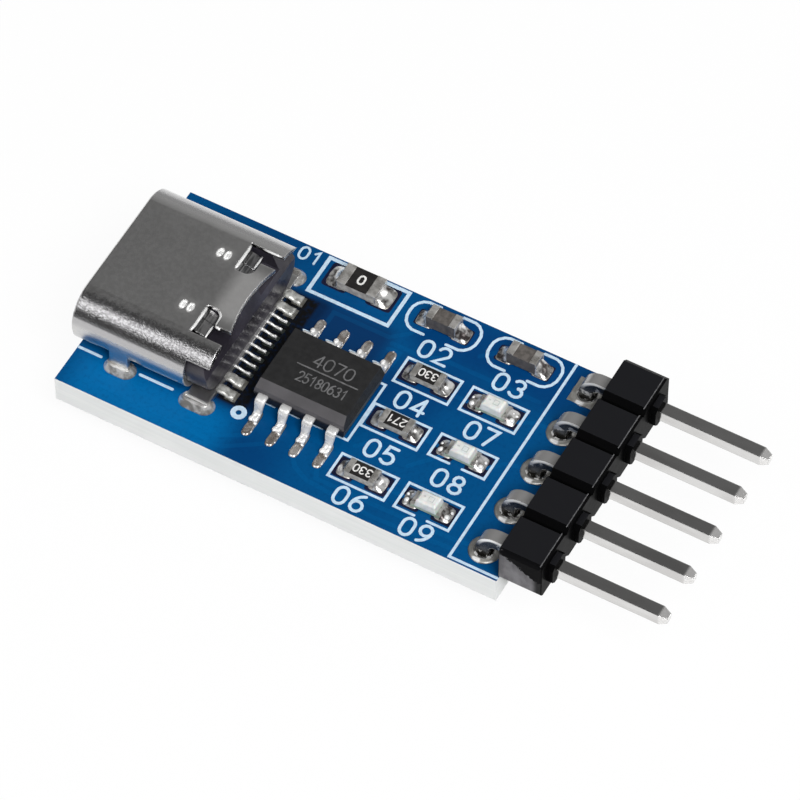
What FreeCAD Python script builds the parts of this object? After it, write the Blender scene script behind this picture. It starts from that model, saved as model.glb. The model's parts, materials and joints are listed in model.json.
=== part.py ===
import FreeCAD, Part
import math
import os
import re
import Sketcher

# A small serial adapter: a circuit board with a USB-C receptacle at the -X end, a bridge chip and small
# parts in the middle, and a right-angle five-pin header at the +X end. The origin is the middle of the
# board's underside. +X runs from the receptacle to the header pins, +Z is up.

SIZES = [
    ("board_length", 23.7, "board along X"),
    ("side_margin", 0.015, "board past the header on each side"),
    ("board_thickness", 1.6, "board thickness"),
    ("pad_height", 0.05, "copper pads above the board"),
    ("shell_rear", 7.2, "shell rear from the board end"),
    ("shell_length", 7.35, "receptacle shell along X"),
    ("shell_width", 8.94, "shell across, outside"),
    ("shell_height", 3.3, "shell height, outside"),
    ("side_flat", 0.1, "flat part of the shell sides"),
    ("shell_wall", 0.25, "sheet thickness of the shell"),
    ("shell_lift", 0.05, "shell underside above the board"),
    ("mouth_break", 0.08, "broken rim of the shell mouth"),
    ("window_reach", 1.75, "front edge of a shell window from the shell rear"),
    ("window_length", 0.95, "wide part of a window along X"),
    ("window_inner", 1.2, "inner side of a window from the centre line"),
    ("window_outer", 2.95, "outer side of a window from the centre line"),
    ("window_neck", 2.1, "inner side of its narrow part, open to the rear"),
    ("window_front_round", 0.2, "front inner corner of a window"),
    ("window_rear_round", 0.45, "rear inner corner of a window"),
    ("flap_offset", 2.27, "middle of the bent flap from the centre line"),
    ("flap_width", 0.82, "flap across"),
    ("flap_length", 0.72, "flap along X"),
    ("flap_bend", 0.16, "steep part of the flap along X"),
    ("flap_bend_drop", 0.25, "how far the steep part dips"),
    ("flap_drop", 0.42, "how far the flap's end dips"),
    ("arch_depth", 0.3, "hollow of the shell's rear edge"),
    ("arch_radius", 7.5, "radius of that hollow"),
    ("dent_length", 0.22, "one of two dents in a pair, along X"),
    ("dent_width", 0.44, "dent across"),
    ("dent_pitch", 0.37, "spacing in a pair of dents"),
    ("dent_slope", 30, "slope of the dent sides, degrees"),
    ("dent_depth", 0.1, "depth of the dents"),
    ("dent_gap", 0.82, "middle of a pair before the windows"),
    ("dent_offset", 1.74, "pairs of dents from the centre line"),
    ("side_cut_length", 1.25, "open lower corner of the shell rear, along X"),
    ("side_cut_top", 0.6, "side wall left above that opening"),
    ("side_cut_inner", 2.7, "inner side of that opening from the centre line"),
    ("leg_rear_inset", 0.62, "rear legs before the shell rear"),
    ("leg_pitch", 4.18, "front legs to rear legs"),
    ("front_leg_width", 1.0, "front leg along X"),
    ("rear_leg_width", 1.2, "rear leg along X"),
    ("leg_reach", 1.15, "leg tips below the shell underside"),
    ("notch_radius", 0.42, "relief notch beside a front leg"),
    ("notch_height", 0.62, "middle of the notch above the shell underside"),
    ("leg_room", 0.12, "slot past the leg on each side"),
    ("slot_extra", 0.06, "slot across, past that room"),
    ("leg_pad_rim", 0.22, "copper around a leg slot"),
    ("leg_mound", 0.35, "solder on a leg slot"),
    ("mound_slope", 35, "slope of the solder sides, degrees"),
    ("liner_room", 0.03, "insulator inside the shell"),
    ("liner_depth", 2.6, "insulator block along X"),
    ("liner_inset", 0.15, "insulator rear before the shell rear"),
    ("liner_bevel_x", 0.6, "sloped rear top of the insulator, along X"),
    ("liner_bevel_z", 1.5, "sloped rear top of the insulator, height"),
    ("liner_pocket", 1.15, "hollow of the insulator under a window"),
    ("tongue_front", 0.8, "tongue tip from the mouth"),
    ("tongue_width", 6.7, "tongue across"),
    ("tongue_thickness", 0.7, "tongue thickness"),
    ("tongue_corner", 0.3, "tongue corner radius"),
    ("contact_start", 0.55, "contacts from the tongue tip"),
    ("contact_width", 0.25, "contact strip across"),
    ("contact_height", 0.05, "contact strip above the tongue"),
    ("contact_pitch", 0.5, "contact spacing"),
    ("peg_radius", 0.25, "locating pegs of the insulator"),
    ("peg_room", 0.05, "room around a peg"),
    ("peg_length", 0.9, "pegs below the shell underside"),
    ("peg_gap", 1.23, "pegs before the rear legs"),
    ("peg_offset", 2.3, "pegs from the centre line"),
    ("tail_pitch", 0.5, "narrow tails"),
    ("tail_width", 0.17, "narrow tail across"),
    ("wide_tail_width", 0.5, "power tail across"),
    ("wide_tail_inner", 2.4, "inner power tail from the centre line"),
    ("wide_tail_pitch", 0.8, "power tail spacing"),
    ("tail_thickness", 0.15, "tail sheet"),
    ("tail_rise", 0.5, "tail top at the insulator, above its pad"),
    ("tail_reach", 0.95, "tail past the insulator"),
    ("tail_level", 0.1, "level part of a tail"),
    ("tail_foot", 0.5, "flat foot of a tail"),
    ("tail_pad_start", 0.5, "pad from the insulator"),
    ("tail_pad_end", 0.12, "pad past the tail tip"),
    ("tail_pad_rim", 0.04, "pad past the tail's sides"),
    ("chip_x", -0.51, "bridge chip centre"),
    ("chip_y", -1.06, "bridge chip centre"),
    ("chip_length", 4.9, "chip body along X"),
    ("chip_width", 3.9, "chip body across"),
    ("chip_base", 0.15, "chip underside above the pads"),
    ("chip_mid", 0.85, "chip parting line above the pads"),
    ("chip_top", 1.5, "chip top above the pads"),
    ("chip_draft", 12, "draft of the chip sides, degrees"),
    ("chip_bevel", 0.34, "bevel along the first pin row"),
    ("foot_pitch", 1.27, "chip lead spacing"),
    ("lead_width", 0.42, "chip lead across"),
    ("shoulder_width", 0.54, "lead shoulder across"),
    ("lead_thickness", 0.2, "chip lead sheet"),
    ("lead_shoulder", 2.35, "end of the lead shoulder from the chip centre"),
    ("lead_bend", 0.22, "run of the sloped part of a lead"),
    ("lead_span", 3.0, "lead tip from the chip centre"),
    ("chip_pad_inner", 2.2, "inner end of a chip pad from the chip centre"),
    ("chip_pad_outer", 3.82, "outer end of a chip pad from the chip centre"),
    ("chip_pad_width", 0.5, "chip pad across"),
    ("toe_width", 0.46, "solder at a lead toe, across"),
    ("toe_height", 0.18, "solder at a lead toe"),
    ("toe_radius", 1.2, "hollow of the toe solder"),
    ("column_one", 3.6, "resistors, from the board middle"),
    ("column_two", 7.12, "indicators, from the board middle"),
    ("row_one", -4.22, "front row of small parts"),
    ("row_two", -0.94, "middle row of small parts"),
    ("row_three", 2.1, "back row of small parts"),
    ("small_length", 1.6, "small part along X"),
    ("small_width", 0.82, "small part across"),
    ("resistor_height", 0.45, "resistor"),
    ("resistor_cap", 0.3, "resistor end cap"),
    ("cap_sheet", 0.04, "end cap thickness"),
    ("coat_height", 0.02, "coat on a resistor, below its caps"),
    ("small_pad_inner", 0.42, "inner end of a small pad"),
    ("small_pad_outer", 1.28, "outer end of a small pad"),
    ("small_pad_width", 0.95, "small pad across"),
    ("fillet_share", 0.6, "solder height up a part's end, share of its height"),
    ("fillet_width", 0.72, "solder on a small part, across"),
    ("link_x", -1.82, "link centre"),
    ("link_edge", 1.005, "link centre from the board's back edge"),
    ("link_length", 2.1, "link along X"),
    ("link_width", 1.25, "link across"),
    ("link_height", 0.55, "link"),
    ("link_cap", 0.48, "link end cap"),
    ("link_pad_inner", 0.6, "inner end of a link pad"),
    ("link_pad_outer", 1.75, "outer end of a link pad"),
    ("link_pad_width", 1.3, "link pad across"),
    ("link_fillet_width", 1.1, "solder on the link, across"),
    ("capacitor_one_x", 7.08, "capacitor near the header"),
    ("capacitor_two_x", 2.74, "capacitor near the link"),
    ("capacitor_edge", 1.145, "capacitors from the board's back edge"),
    ("capacitor_height", 0.8, "capacitor"),
    ("capacitor_cap", 0.36, "capacitor end cap"),
    ("capacitor_pad_outer", 1.42, "outer end of a capacitor pad"),
    ("led_base_height", 0.24, "indicator base"),
    ("led_cap", 0.2, "indicator end cap"),
    ("lens_length", 1.14, "indicator lens along X"),
    ("lens_height", 0.4, "indicator lens above its base"),
    ("lens_draft", 9, "slope of the lens ends, degrees"),
    ("lens_round", 0.08, "broken lens edges"),
    ("pin_pitch", 2.54, "header pins"),
    ("pin_size", 0.64, "square header pin"),
    ("pin_inset", 1.3, "pin holes from the board end"),
    ("pin_height", 1.25, "pin middle above the board"),
    ("pin_bend", 0.7, "bend radius at the pin middle"),
    ("pin_free", 6.0, "pin tips past the housing face"),
    ("pin_taper", 0.4, "tapered tip along the pin"),
    ("pin_tip_inset", 0.14, "taper on each side of the tip"),
    ("pin_tail", 1.3, "pin tails below the board"),
    ("pin_hole_radius", 0.5, "plated hole"),
    ("pin_pad_radius", 0.8, "round pin pad"),
    ("first_pad_side", 1.5, "square pad of the first pin"),
    ("rim_height", 0.1, "solder rim of a hole above the board"),
    ("plating", 0.05, "plated wall of a hole"),
    ("fill_depth", 0.4, "solder in the hole, below the board top"),
    ("cone_bottom", 0.8, "solder down the pin below the board"),
    ("cone_neck", 0.5, "solder radius at the pin"),
    ("housing_depth", 2.25, "header housing along X"),
    ("housing_height", 2.34, "header housing height"),
    ("groove_depth", 0.3, "notch between two housing segments"),
    ("edge_break", 0.1, "broken edges of the housing"),
    ("snap_short", 0.15, "how much the housing's near end is short"),
    ("boss_reach", 0.3, "raised boss around a pin"),
    ("boss_width", 1.25, "boss across"),
    ("boss_height", 1.35, "boss height"),
    ("boss_corner", 0.25, "boss corner bevel"),
]
PIN_COUNT = 5

doc = FreeCAD.newDocument("usb_serial_adapter")
sheet = doc.addObject("Spreadsheet::Sheet", "sizes")
for row, (size_name, size_value, size_note) in enumerate(SIZES, start=1):
    sheet.set(f"A{row}", size_note)
    sheet.set(f"B{row}", str(size_value))
    sheet.setAlias(f"B{row}", size_name)
doc.recompute()

KNOWN = {name for name, value, note in SIZES}
NODES = []

# Places that several pieces share
TOP = "board_thickness"
PAD_TOP = "(board_thickness + pad_height)"
MOUTH = "(-board_length/2 + shell_rear - shell_length)"
SHELL_BASE = "(board_thickness + shell_lift)"
LINER_REAR = "(shell_length - liner_inset)"
TAIL_START = f"({MOUTH} + {LINER_REAR})"
WINDOW_FRONT = "(shell_length - window_reach)"
REAR_LEG = "(shell_length - leg_rear_inset)"
FRONT_LEG = f"({REAR_LEG} - leg_pitch)"
PEG = f"({REAR_LEG} - peg_gap)"
CORNER = "((shell_height - side_flat)/2)"
LINER_FRONT = f"({LINER_REAR} - liner_depth)"
BOARD_WIDTH = f"({PIN_COUNT}*pin_pitch + 2*side_margin)"
PIN_X = "(board_length/2 - pin_inset)"
FIRST_PIN = f"(-{(PIN_COUNT - 1) / 2}*pin_pitch)"
LEG_LINE = "(shell_width/2 - shell_wall/2)"
SLOT_WIDTH = "(shell_wall + 2*leg_room + 2*slot_extra)"
HOUSING_FACE = "(board_length/2 + housing_depth)"
PIN_TIP = f"({HOUSING_FACE} + pin_free)"
PIN_LEVEL = "(board_thickness + pin_height)"
PAST_ALL = "(shell_length + 1)"


def bound(text):
    """A formula in the words of the sheet, as an expression that looks them up there."""
    return re.sub(r"[a-z_]+", lambda m: "sizes." + m.group() if m.group() in KNOWN else m.group(), str(text))


def number(text):
    return float(sheet.evalExpression(bound(text)))


def bind(item, place, text):
    item.setExpression(place, bound(text))


def new_body(label, x=0, y=0, z=0, pieces=1):
    body = doc.addObject("PartDesign::Body", label)
    body.Label = label
    body.AllowCompound = pieces > 1
    for axis, text in zip("xyz", (x, y, z)):
        bind(body, f"Placement.Base.{axis}", text)
    NODES.append((body, pieces))
    return body


def origin_item(body, role):
    return next(item for item in body.Origin.OriginFeatures if item.Role == role)


def sketch_on(body, role, lift=0):
    sketch = body.newObject("Sketcher::SketchObject", body.Name + "_sketch")
    sketch.AttachmentSupport = [(origin_item(body, role), "")]
    sketch.MapMode = "FlatFace"
    bind(sketch, "AttachmentOffset.Base.z", lift)
    return sketch


def fix_point(sketch, piece, end, x, y):
    for kind, text in (("DistanceX", x), ("DistanceY", y)):
        rule = sketch.addConstraint(Sketcher.Constraint(kind, -1, 1, piece, end, number(text)))
        bind(sketch, f"Constraints[{rule}]", text)


def outline(sketch, corners):
    """A closed outline. A corner (x, y) is reached in a straight line, and a corner (x, y, radius, turn)
    along an arc that turns left (1) or right (-1)."""
    places = [FreeCAD.Vector(number(corner[0]), number(corner[1]), 0) for corner in corners]
    ends = []
    for index, corner in enumerate(corners):
        start, stop = places[index - 1], places[index]
        if len(corner) == 2:
            piece = sketch.addGeometry(Part.LineSegment(start, stop), False)
            ends.append((piece, 1, 2))
            continue
        radius, turn = number(corner[2]), corner[3]
        chord = stop.sub(start)
        side = FreeCAD.Vector(-chord.y, chord.x, 0).normalize()
        depth = math.sqrt(radius**2 - (chord.Length / 2) ** 2)
        centre = (start + stop) * 0.5 + side * depth * turn
        first, last = (start, stop) if turn > 0 else (stop, start)
        angles = [math.atan2(place.y - centre.y, place.x - centre.x) for place in (first, last)]
        circle = Part.Circle(centre, FreeCAD.Vector(0, 0, 1), radius)
        piece = sketch.addGeometry(Part.ArcOfCircle(circle, *angles), False)
        rule = sketch.addConstraint(Sketcher.Constraint("Radius", piece, radius))
        bind(sketch, f"Constraints[{rule}]", corner[2])
        ends.append((piece, 1, 2) if turn > 0 else (piece, 2, 1))
    for index, (piece, begin, finish) in enumerate(ends):
        after = ends[(index + 1) % len(ends)]
        sketch.addConstraint(Sketcher.Constraint("Coincident", piece, finish, after[0], after[1]))
        fix_point(sketch, piece, finish, *corners[index][:2])


def box_outline(sketch, x, y, length, width):
    """A rectangle about its middle."""
    left, right = f"({x}) - ({length})/2", f"({x}) + ({length})/2"
    low, high = f"({y}) - ({width})/2", f"({y}) + ({width})/2"
    outline(sketch, [(left, low), (right, low), (right, high), (left, high)])


def round_outline(sketch, x, y, length, width, radius):
    """A rectangle with four round corners, about its middle."""
    far_x, far_y = f"(({length})/2)", f"(({width})/2)"
    near_x, near_y = f"(({length})/2 - ({radius}))", f"(({width})/2 - ({radius}))"
    bend = f"({radius})"
    outline(
        sketch,
        [
            (f"({x}) + {near_x}", f"({y}) - {far_y}"),
            (f"({x}) + {far_x}", f"({y}) - {near_y}", bend, 1),
            (f"({x}) + {far_x}", f"({y}) + {near_y}"),
            (f"({x}) + {near_x}", f"({y}) + {far_y}", bend, 1),
            (f"({x}) - {near_x}", f"({y}) + {far_y}"),
            (f"({x}) - {far_x}", f"({y}) + {near_y}", bend, 1),
            (f"({x}) - {far_x}", f"({y}) - {near_y}"),
            (f"({x}) - {near_x}", f"({y}) - {far_y}", bend, 1),
        ],
    )


def oval_outline(sketch, x, y, length, width):
    """A slot with round ends, long in x, about its middle."""
    reach, radius = f"(({length}) - ({width}))/2", f"({width})/2"
    side = f"(({width})/2)"
    for turn_x in (1, -1):
        end_x = f"({x}) + {turn_x}*({reach})"
        centre = FreeCAD.Vector(number(end_x), number(y), 0)
        circle = Part.Circle(centre, FreeCAD.Vector(0, 0, 1), number(radius))
        start = -math.pi / 2 if turn_x > 0 else math.pi / 2
        piece = sketch.addGeometry(Part.ArcOfCircle(circle, start, start + math.pi), False)
        fix_point(sketch, piece, 3, end_x, y)
        rule = sketch.addConstraint(Sketcher.Constraint("Radius", piece, number(radius)))
        bind(sketch, f"Constraints[{rule}]", radius)
    last, first = sketch.GeometryCount - 1, sketch.GeometryCount - 2
    for begin, finish, turn_y in ((first, last, 1), (last, first, -1)):
        ends = [FreeCAD.Vector(number(f"({x}) + {s}*({reach})"), number(f"({y}) + {turn_y}*{side}"), 0)
                for s in (turn_y, -turn_y)]
        line = sketch.addGeometry(Part.LineSegment(*ends), False)
        sketch.addConstraint(Sketcher.Constraint("Tangent", begin, 2, line, 1))
        sketch.addConstraint(Sketcher.Constraint("Tangent", line, 2, finish, 1))


def disc_outline(sketch, x, y, radius):
    circle = Part.Circle(FreeCAD.Vector(number(x), number(y), 0), FreeCAD.Vector(0, 0, 1), number(radius))
    piece = sketch.addGeometry(circle, False)
    fix_point(sketch, piece, 3, x, y)
    rule = sketch.addConstraint(Sketcher.Constraint("Radius", piece, number(radius)))
    bind(sketch, f"Constraints[{rule}]", radius)


def pad(body, sketch, length, back=False, middle=False, taper=None):
    """Adds the sketch's outlines, along its normal or, with back, against it."""
    feature = body.newObject("PartDesign::Pad", body.Name + "_pad")
    feature.Profile = sketch
    feature.Reversed = back
    feature.Midplane = middle
    bind(feature, "Length", length)
    if taper is not None:
        bind(feature, "TaperAngle", taper)
    return feature


def pocket(body, sketch, length=None, forward=False):
    """Cuts against the sketch's normal, along it with forward, or right through with no length."""
    feature = body.newObject("PartDesign::Pocket", body.Name + "_pocket")
    feature.Profile = sketch
    feature.Reversed = forward
    if length is None:
        feature.Type = "ThroughAll"
        feature.Midplane = True
    else:
        bind(feature, "Length", length)
    return feature


def row_of(body, feature, role, count, pitch, whole=False):
    doc.recompute()
    pattern = body.newObject("PartDesign::LinearPattern", body.Name + "_row")
    if whole:
        pattern.TransformMode = "Whole shape"
    else:
        pattern.Originals = [feature]
    pattern.Direction = (origin_item(body, role), [""])
    pattern.Mode = "Spacing"
    pattern.Occurrences = count
    bind(pattern, "Offset", pitch)
    body.Tip = pattern
    return pattern


def mirror_of(body, features, role="XZ_Plane", whole=False):
    doc.recompute()
    pattern = body.newObject("PartDesign::Mirrored", body.Name + "_mirror")
    if whole:
        pattern.TransformMode = "Whole shape"
    else:
        pattern.Originals = features
    pattern.MirrorPlane = (origin_item(body, role), [""])
    body.Tip = pattern
    return pattern


def edges_where(feature, test):
    doc.recompute()
    return [f"Edge{n}" for n, edge in enumerate(feature.Shape.Edges, start=1) if test(edge)]


def near(first, second):
    return abs(first - second) < 1e-4


def dress(body, kind, feature, names, place, text):
    """A PartDesign::Fillet or PartDesign::Chamfer on named edges."""
    result = body.newObject("PartDesign::" + kind, body.Name + "_edge")
    result.Base = (feature, names)
    bind(result, place, text)
    return result


def make_board():
    body = new_body("circuit_board")
    sheet_outline = sketch_on(body, "XY_Plane")
    box_outline(sheet_outline, 0, 0, "board_length", BOARD_WIDTH)
    pad(body, sheet_outline, "board_thickness")

    slots = sketch_on(body, "XY_Plane")
    for x, width in ((f"{MOUTH} + {FRONT_LEG}", "front_leg_width"), (f"{MOUTH} + {REAR_LEG}", "rear_leg_width")):
        for side in (-1, 1):
            oval_outline(slots, x, f"{side}*{LEG_LINE}", f"{width} + 2*leg_room", SLOT_WIDTH)
    pocket(body, slots)

    pegs = sketch_on(body, "XY_Plane")
    for side in (-1, 1):
        disc_outline(pegs, f"{MOUTH} + {PEG}", f"{side}*peg_offset", "peg_radius + peg_room")
    pocket(body, pegs)

    hole = sketch_on(body, "XY_Plane")
    disc_outline(hole, PIN_X, FIRST_PIN, "pin_hole_radius")
    row_of(body, pocket(body, hole), "Y_Axis", PIN_COUNT, "pin_pitch")


def make_shell():
    """One stamped sheet: a flat tube with round sides, windows with bent flaps, dents and four legs."""
    body = new_body("usb_shell", MOUTH, 0, SHELL_BASE)
    middle = "shell_height/2"
    tube = sketch_on(body, "YZ_Plane")
    round_outline(tube, 0, middle, "shell_width", "shell_height", CORNER)
    solid = pad(body, tube, "shell_length")
    rim = edges_where(solid, lambda edge: near(edge.BoundBox.XMax, 0))
    dress(body, "Chamfer", solid, rim, "Size", "mouth_break")

    bore = sketch_on(body, "YZ_Plane")
    inner = ("shell_width - 2*shell_wall", "shell_height - 2*shell_wall", f"{CORNER} - shell_wall")
    round_outline(bore, 0, middle, *inner)
    pocket(body, bore)

    windows = sketch_on(body, "XY_Plane", "shell_height")
    waist = f"({WINDOW_FRONT} + window_length)"
    for side in (-1, 1):
        corners = [(PAST_ALL, "window_neck"), (waist, "window_neck"),
                   (waist, "(window_inner + window_rear_round)"),
                   (f"{waist} - window_rear_round", "window_inner", "window_rear_round", -side),
                   (f"{WINDOW_FRONT} + window_front_round", "window_inner"),
                   (WINDOW_FRONT, "(window_inner + window_front_round)", "window_front_round", -side),
                   (WINDOW_FRONT, "window_outer"), (PAST_ALL, "window_outer")]
        outline(windows, [(corner[0], f"{side}*{corner[1]}", *corner[2:]) for corner in corners])
    pocket(body, windows, middle)

    arch = sketch_on(body, "XY_Plane", "shell_height")
    disc_outline(arch, "shell_length - arch_depth + arch_radius", 0, "arch_radius")
    pocket(body, arch, middle)

    dents = sketch_on(body, "XY_Plane", "shell_height")
    for side in (-1, 1):
        for end in (-1, 1):
            x = f"{WINDOW_FRONT} - dent_gap + {end}*dent_pitch/2"
            box_outline(dents, x, f"{side}*dent_offset", "dent_length", "dent_width")
    bind(pocket(body, dents, "dent_depth"), "TaperAngle", "-dent_slope")

    corners = sketch_on(body, "XY_Plane", "-1")
    for side in (-1, 1):
        box_outline(corners, "shell_length", f"{side}*(side_cut_inner + shell_width/2)",
                    "2*side_cut_length", "shell_width")
    pocket(body, corners, "shell_height - side_cut_top + 1", forward=True)

    notches = sketch_on(body, "XZ_Plane", "shell_width/2 + 1")
    for side in (-1, 1):
        disc_outline(notches, f"{FRONT_LEG} + {side}*(front_leg_width/2 + notch_radius)", "notch_height",
                     "notch_radius")
    cut = pocket(body, notches, f"{CORNER} + 1")
    last = mirror_of(body, [cut])

    pegs = sketch_on(body, "XY_Plane")
    for side in (-1, 1):
        disc_outline(pegs, PEG, f"{side}*peg_offset", "peg_radius + peg_room")
    last = pocket(body, pegs, "shell_wall", forward=True)

    flap = sketch_on(body, "XZ_Plane", "flap_offset")
    bend, tip = f"({WINDOW_FRONT} + flap_bend)", f"({WINDOW_FRONT} + flap_length)"
    upper = [(tip, "(shell_height - flap_drop)"), (bend, "(shell_height - flap_bend_drop)"),
             (WINDOW_FRONT, "shell_height")]
    lower = [(WINDOW_FRONT, "(shell_height - shell_wall)"),
             (f"({bend} - shell_wall/2)", "(shell_height - flap_bend_drop - shell_wall)"),
             (tip, "(shell_height - flap_drop - shell_wall)")]
    outline(flap, lower + upper)
    last = pad(body, flap, "flap_width", middle=True)
    last = mirror_of(body, [last])

    outer, inner = "shell_width/2", "(shell_width/2 - shell_wall)"
    front = sketch_on(body, "YZ_Plane", FRONT_LEG)
    outline(front, [(inner, "-leg_reach"), (outer, "-leg_reach"), (outer, middle), (inner, middle)])
    last = pad(body, front, "front_leg_width", middle=True)
    last = mirror_of(body, [last])

    rear = sketch_on(body, "YZ_Plane", REAR_LEG)
    root = "(side_cut_inner - 0.3)"
    outline(rear, [(root, "0"), (inner, "0"), (inner, "-leg_reach"), (outer, "-leg_reach"), (outer, "0"),
                   (inner, "shell_wall", "shell_wall", 1), (root, "shell_wall")])
    last = pad(body, rear, "rear_leg_width", middle=True)
    mirror_of(body, [last])


def make_insulator():
    """The black moulding: the block behind the opening, the tongue and two locating pegs."""
    body = new_body("usb_insulator", MOUTH, 0, SHELL_BASE)
    middle = "shell_height/2"
    block = sketch_on(body, "YZ_Plane", LINER_FRONT)
    shrink = "2*(shell_wall + liner_room)"
    round_outline(block, 0, middle, f"shell_width - {shrink}", f"shell_height - {shrink}",
                  f"{CORNER} - shell_wall - liner_room")
    pad(body, block, "liner_depth")

    tongue = sketch_on(body, "YZ_Plane", "tongue_front")
    round_outline(tongue, 0, middle, "tongue_width", "tongue_thickness", "tongue_corner")
    pad(body, tongue, f"{LINER_FRONT} - tongue_front")

    slope = sketch_on(body, "XZ_Plane")
    outline(slope, [(f"{LINER_REAR} - liner_bevel_x", "shell_height"),
                    (LINER_REAR, "shell_height - liner_bevel_z"), (PAST_ALL, "shell_height - liner_bevel_z"),
                    (PAST_ALL, "shell_height")])
    pocket(body, slope)

    wells = sketch_on(body, "XY_Plane", "shell_height")
    for side in (-1, 1):
        box_outline(wells, f"({WINDOW_FRONT} + {PAST_ALL})/2 - liner_room",
                    f"{side}*(window_inner + window_outer)/2", f"{PAST_ALL} - {WINDOW_FRONT}",
                    "window_outer - window_inner")
    pocket(body, wells, "liner_pocket")

    pegs = sketch_on(body, "XY_Plane", "-peg_length")
    for side in (-1, 1):
        disc_outline(pegs, PEG, f"{side}*peg_offset", "peg_radius")
    pad(body, pegs, "peg_length + shell_wall + 0.2")


def make_contacts():
    """Eight gold strips on each face of the tongue."""
    level = {"upper": "tongue_thickness/2", "lower": "-tongue_thickness/2 - contact_height"}
    for name, height in level.items():
        body = new_body(f"usb_contacts_{name}", MOUTH, 0, f"{SHELL_BASE} + shell_height/2", pieces=8)
        strips = sketch_on(body, "XY_Plane", height)
        start = "(tongue_front + contact_start)"
        for place in (0.5, 1.5, 2.5, 5.5):
            for side in (-1, 1):
                box_outline(strips, f"({start} + {LINER_FRONT})/2", f"{side * place}*contact_pitch",
                            f"{LINER_FRONT} - {start}", "contact_width")
        pad(body, strips, "contact_height")


def tail_profile(sketch):
    """A tail seen from the side: out of the insulator, down, and flat on its pad."""
    foot = "(tail_reach - tail_foot)"
    outline(sketch, [("0", "tail_rise - tail_thickness"), ("tail_level", "tail_rise - tail_thickness"),
                     (f"{foot} - tail_thickness/2", "0"), ("tail_reach", "0"),
                     ("tail_reach", "tail_thickness"), (foot, "tail_thickness"),
                     ("tail_level + tail_thickness/2", "tail_rise"), ("0", "tail_rise")])


def make_tails():
    narrow = new_body("usb_signal_tails", TAIL_START, 0, PAD_TOP, pieces=8)
    side_view = sketch_on(narrow, "XZ_Plane", "3.5*tail_pitch")
    tail_profile(side_view)
    row_of(narrow, pad(narrow, side_view, "tail_width", middle=True), "Y_Axis", 8, "tail_pitch")

    wide = new_body("usb_power_tails", TAIL_START, 0, PAD_TOP, pieces=4)
    side_view = sketch_on(wide, "XZ_Plane", "-wide_tail_inner")
    tail_profile(side_view)
    one = pad(wide, side_view, "wide_tail_width", middle=True)
    row_of(wide, one, "Y_Axis", 2, "wide_tail_pitch")
    mirror_of(wide, [], whole=True)


def make_tail_pads():
    body = new_body("usb_tail_pads", TAIL_START, 0, TOP, pieces=12)
    sketch = sketch_on(body, "XY_Plane")
    start, end = "tail_pad_start", "(tail_reach + tail_pad_end)"
    places = [(f"{n - 3.5}*tail_pitch", "tail_width") for n in range(8)]
    places += [(f"{side}*(wide_tail_inner + {n}*wide_tail_pitch)", "wide_tail_width")
               for side in (-1, 1) for n in (0, 1)]
    for y, width in places:
        box_outline(sketch, f"({start} + {end})/2", y, f"{end} - {start}", f"{width} + 2*tail_pad_rim")
    pad(body, sketch, "pad_height")


def leg_places():
    for x, width in ((FRONT_LEG, "front_leg_width"), (REAR_LEG, "rear_leg_width")):
        for side in (-1, 1):
            yield f"{MOUTH} + {x}", f"{side}*{LEG_LINE}", width, side


def make_leg_solder():
    """Each plated slot with its copper and solder: filled around the leg, a mound above and flat below."""
    body = new_body("usb_leg_solder", pieces=4)
    plug = sketch_on(body, "XY_Plane")
    for x, y, width, side in leg_places():
        oval_outline(plug, x, y, f"{width} + 2*leg_room", SLOT_WIDTH)
    pad(body, plug, "board_thickness")
    for lift, height, back, taper in ((TOP, "leg_mound", False, "-mound_slope"), ("0", "pad_height", True, None)):
        layer = sketch_on(body, "XY_Plane", lift)
        for x, y, width, side in leg_places():
            grown = "2*leg_pad_rim"
            oval_outline(layer, x, y, f"{width} + 2*leg_room + {grown}", f"{SLOT_WIDTH} + {grown}")
        pad(body, layer, height, back=back, taper=taper)

    legs = sketch_on(body, "XY_Plane", f"{SHELL_BASE} - leg_reach")
    for x, y, width, side in leg_places():
        box_outline(legs, x, y, width, "shell_wall")
    pocket(body, legs, "board_thickness + leg_mound", forward=True)

    above = sketch_on(body, "XY_Plane", SHELL_BASE)
    for x, y, width, side in leg_places():
        box_outline(above, x, f"{y} - {side}*{SLOT_WIDTH}", width, f"2*{SLOT_WIDTH} + shell_wall")
    pocket(body, above, "leg_mound", forward=True)


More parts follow.
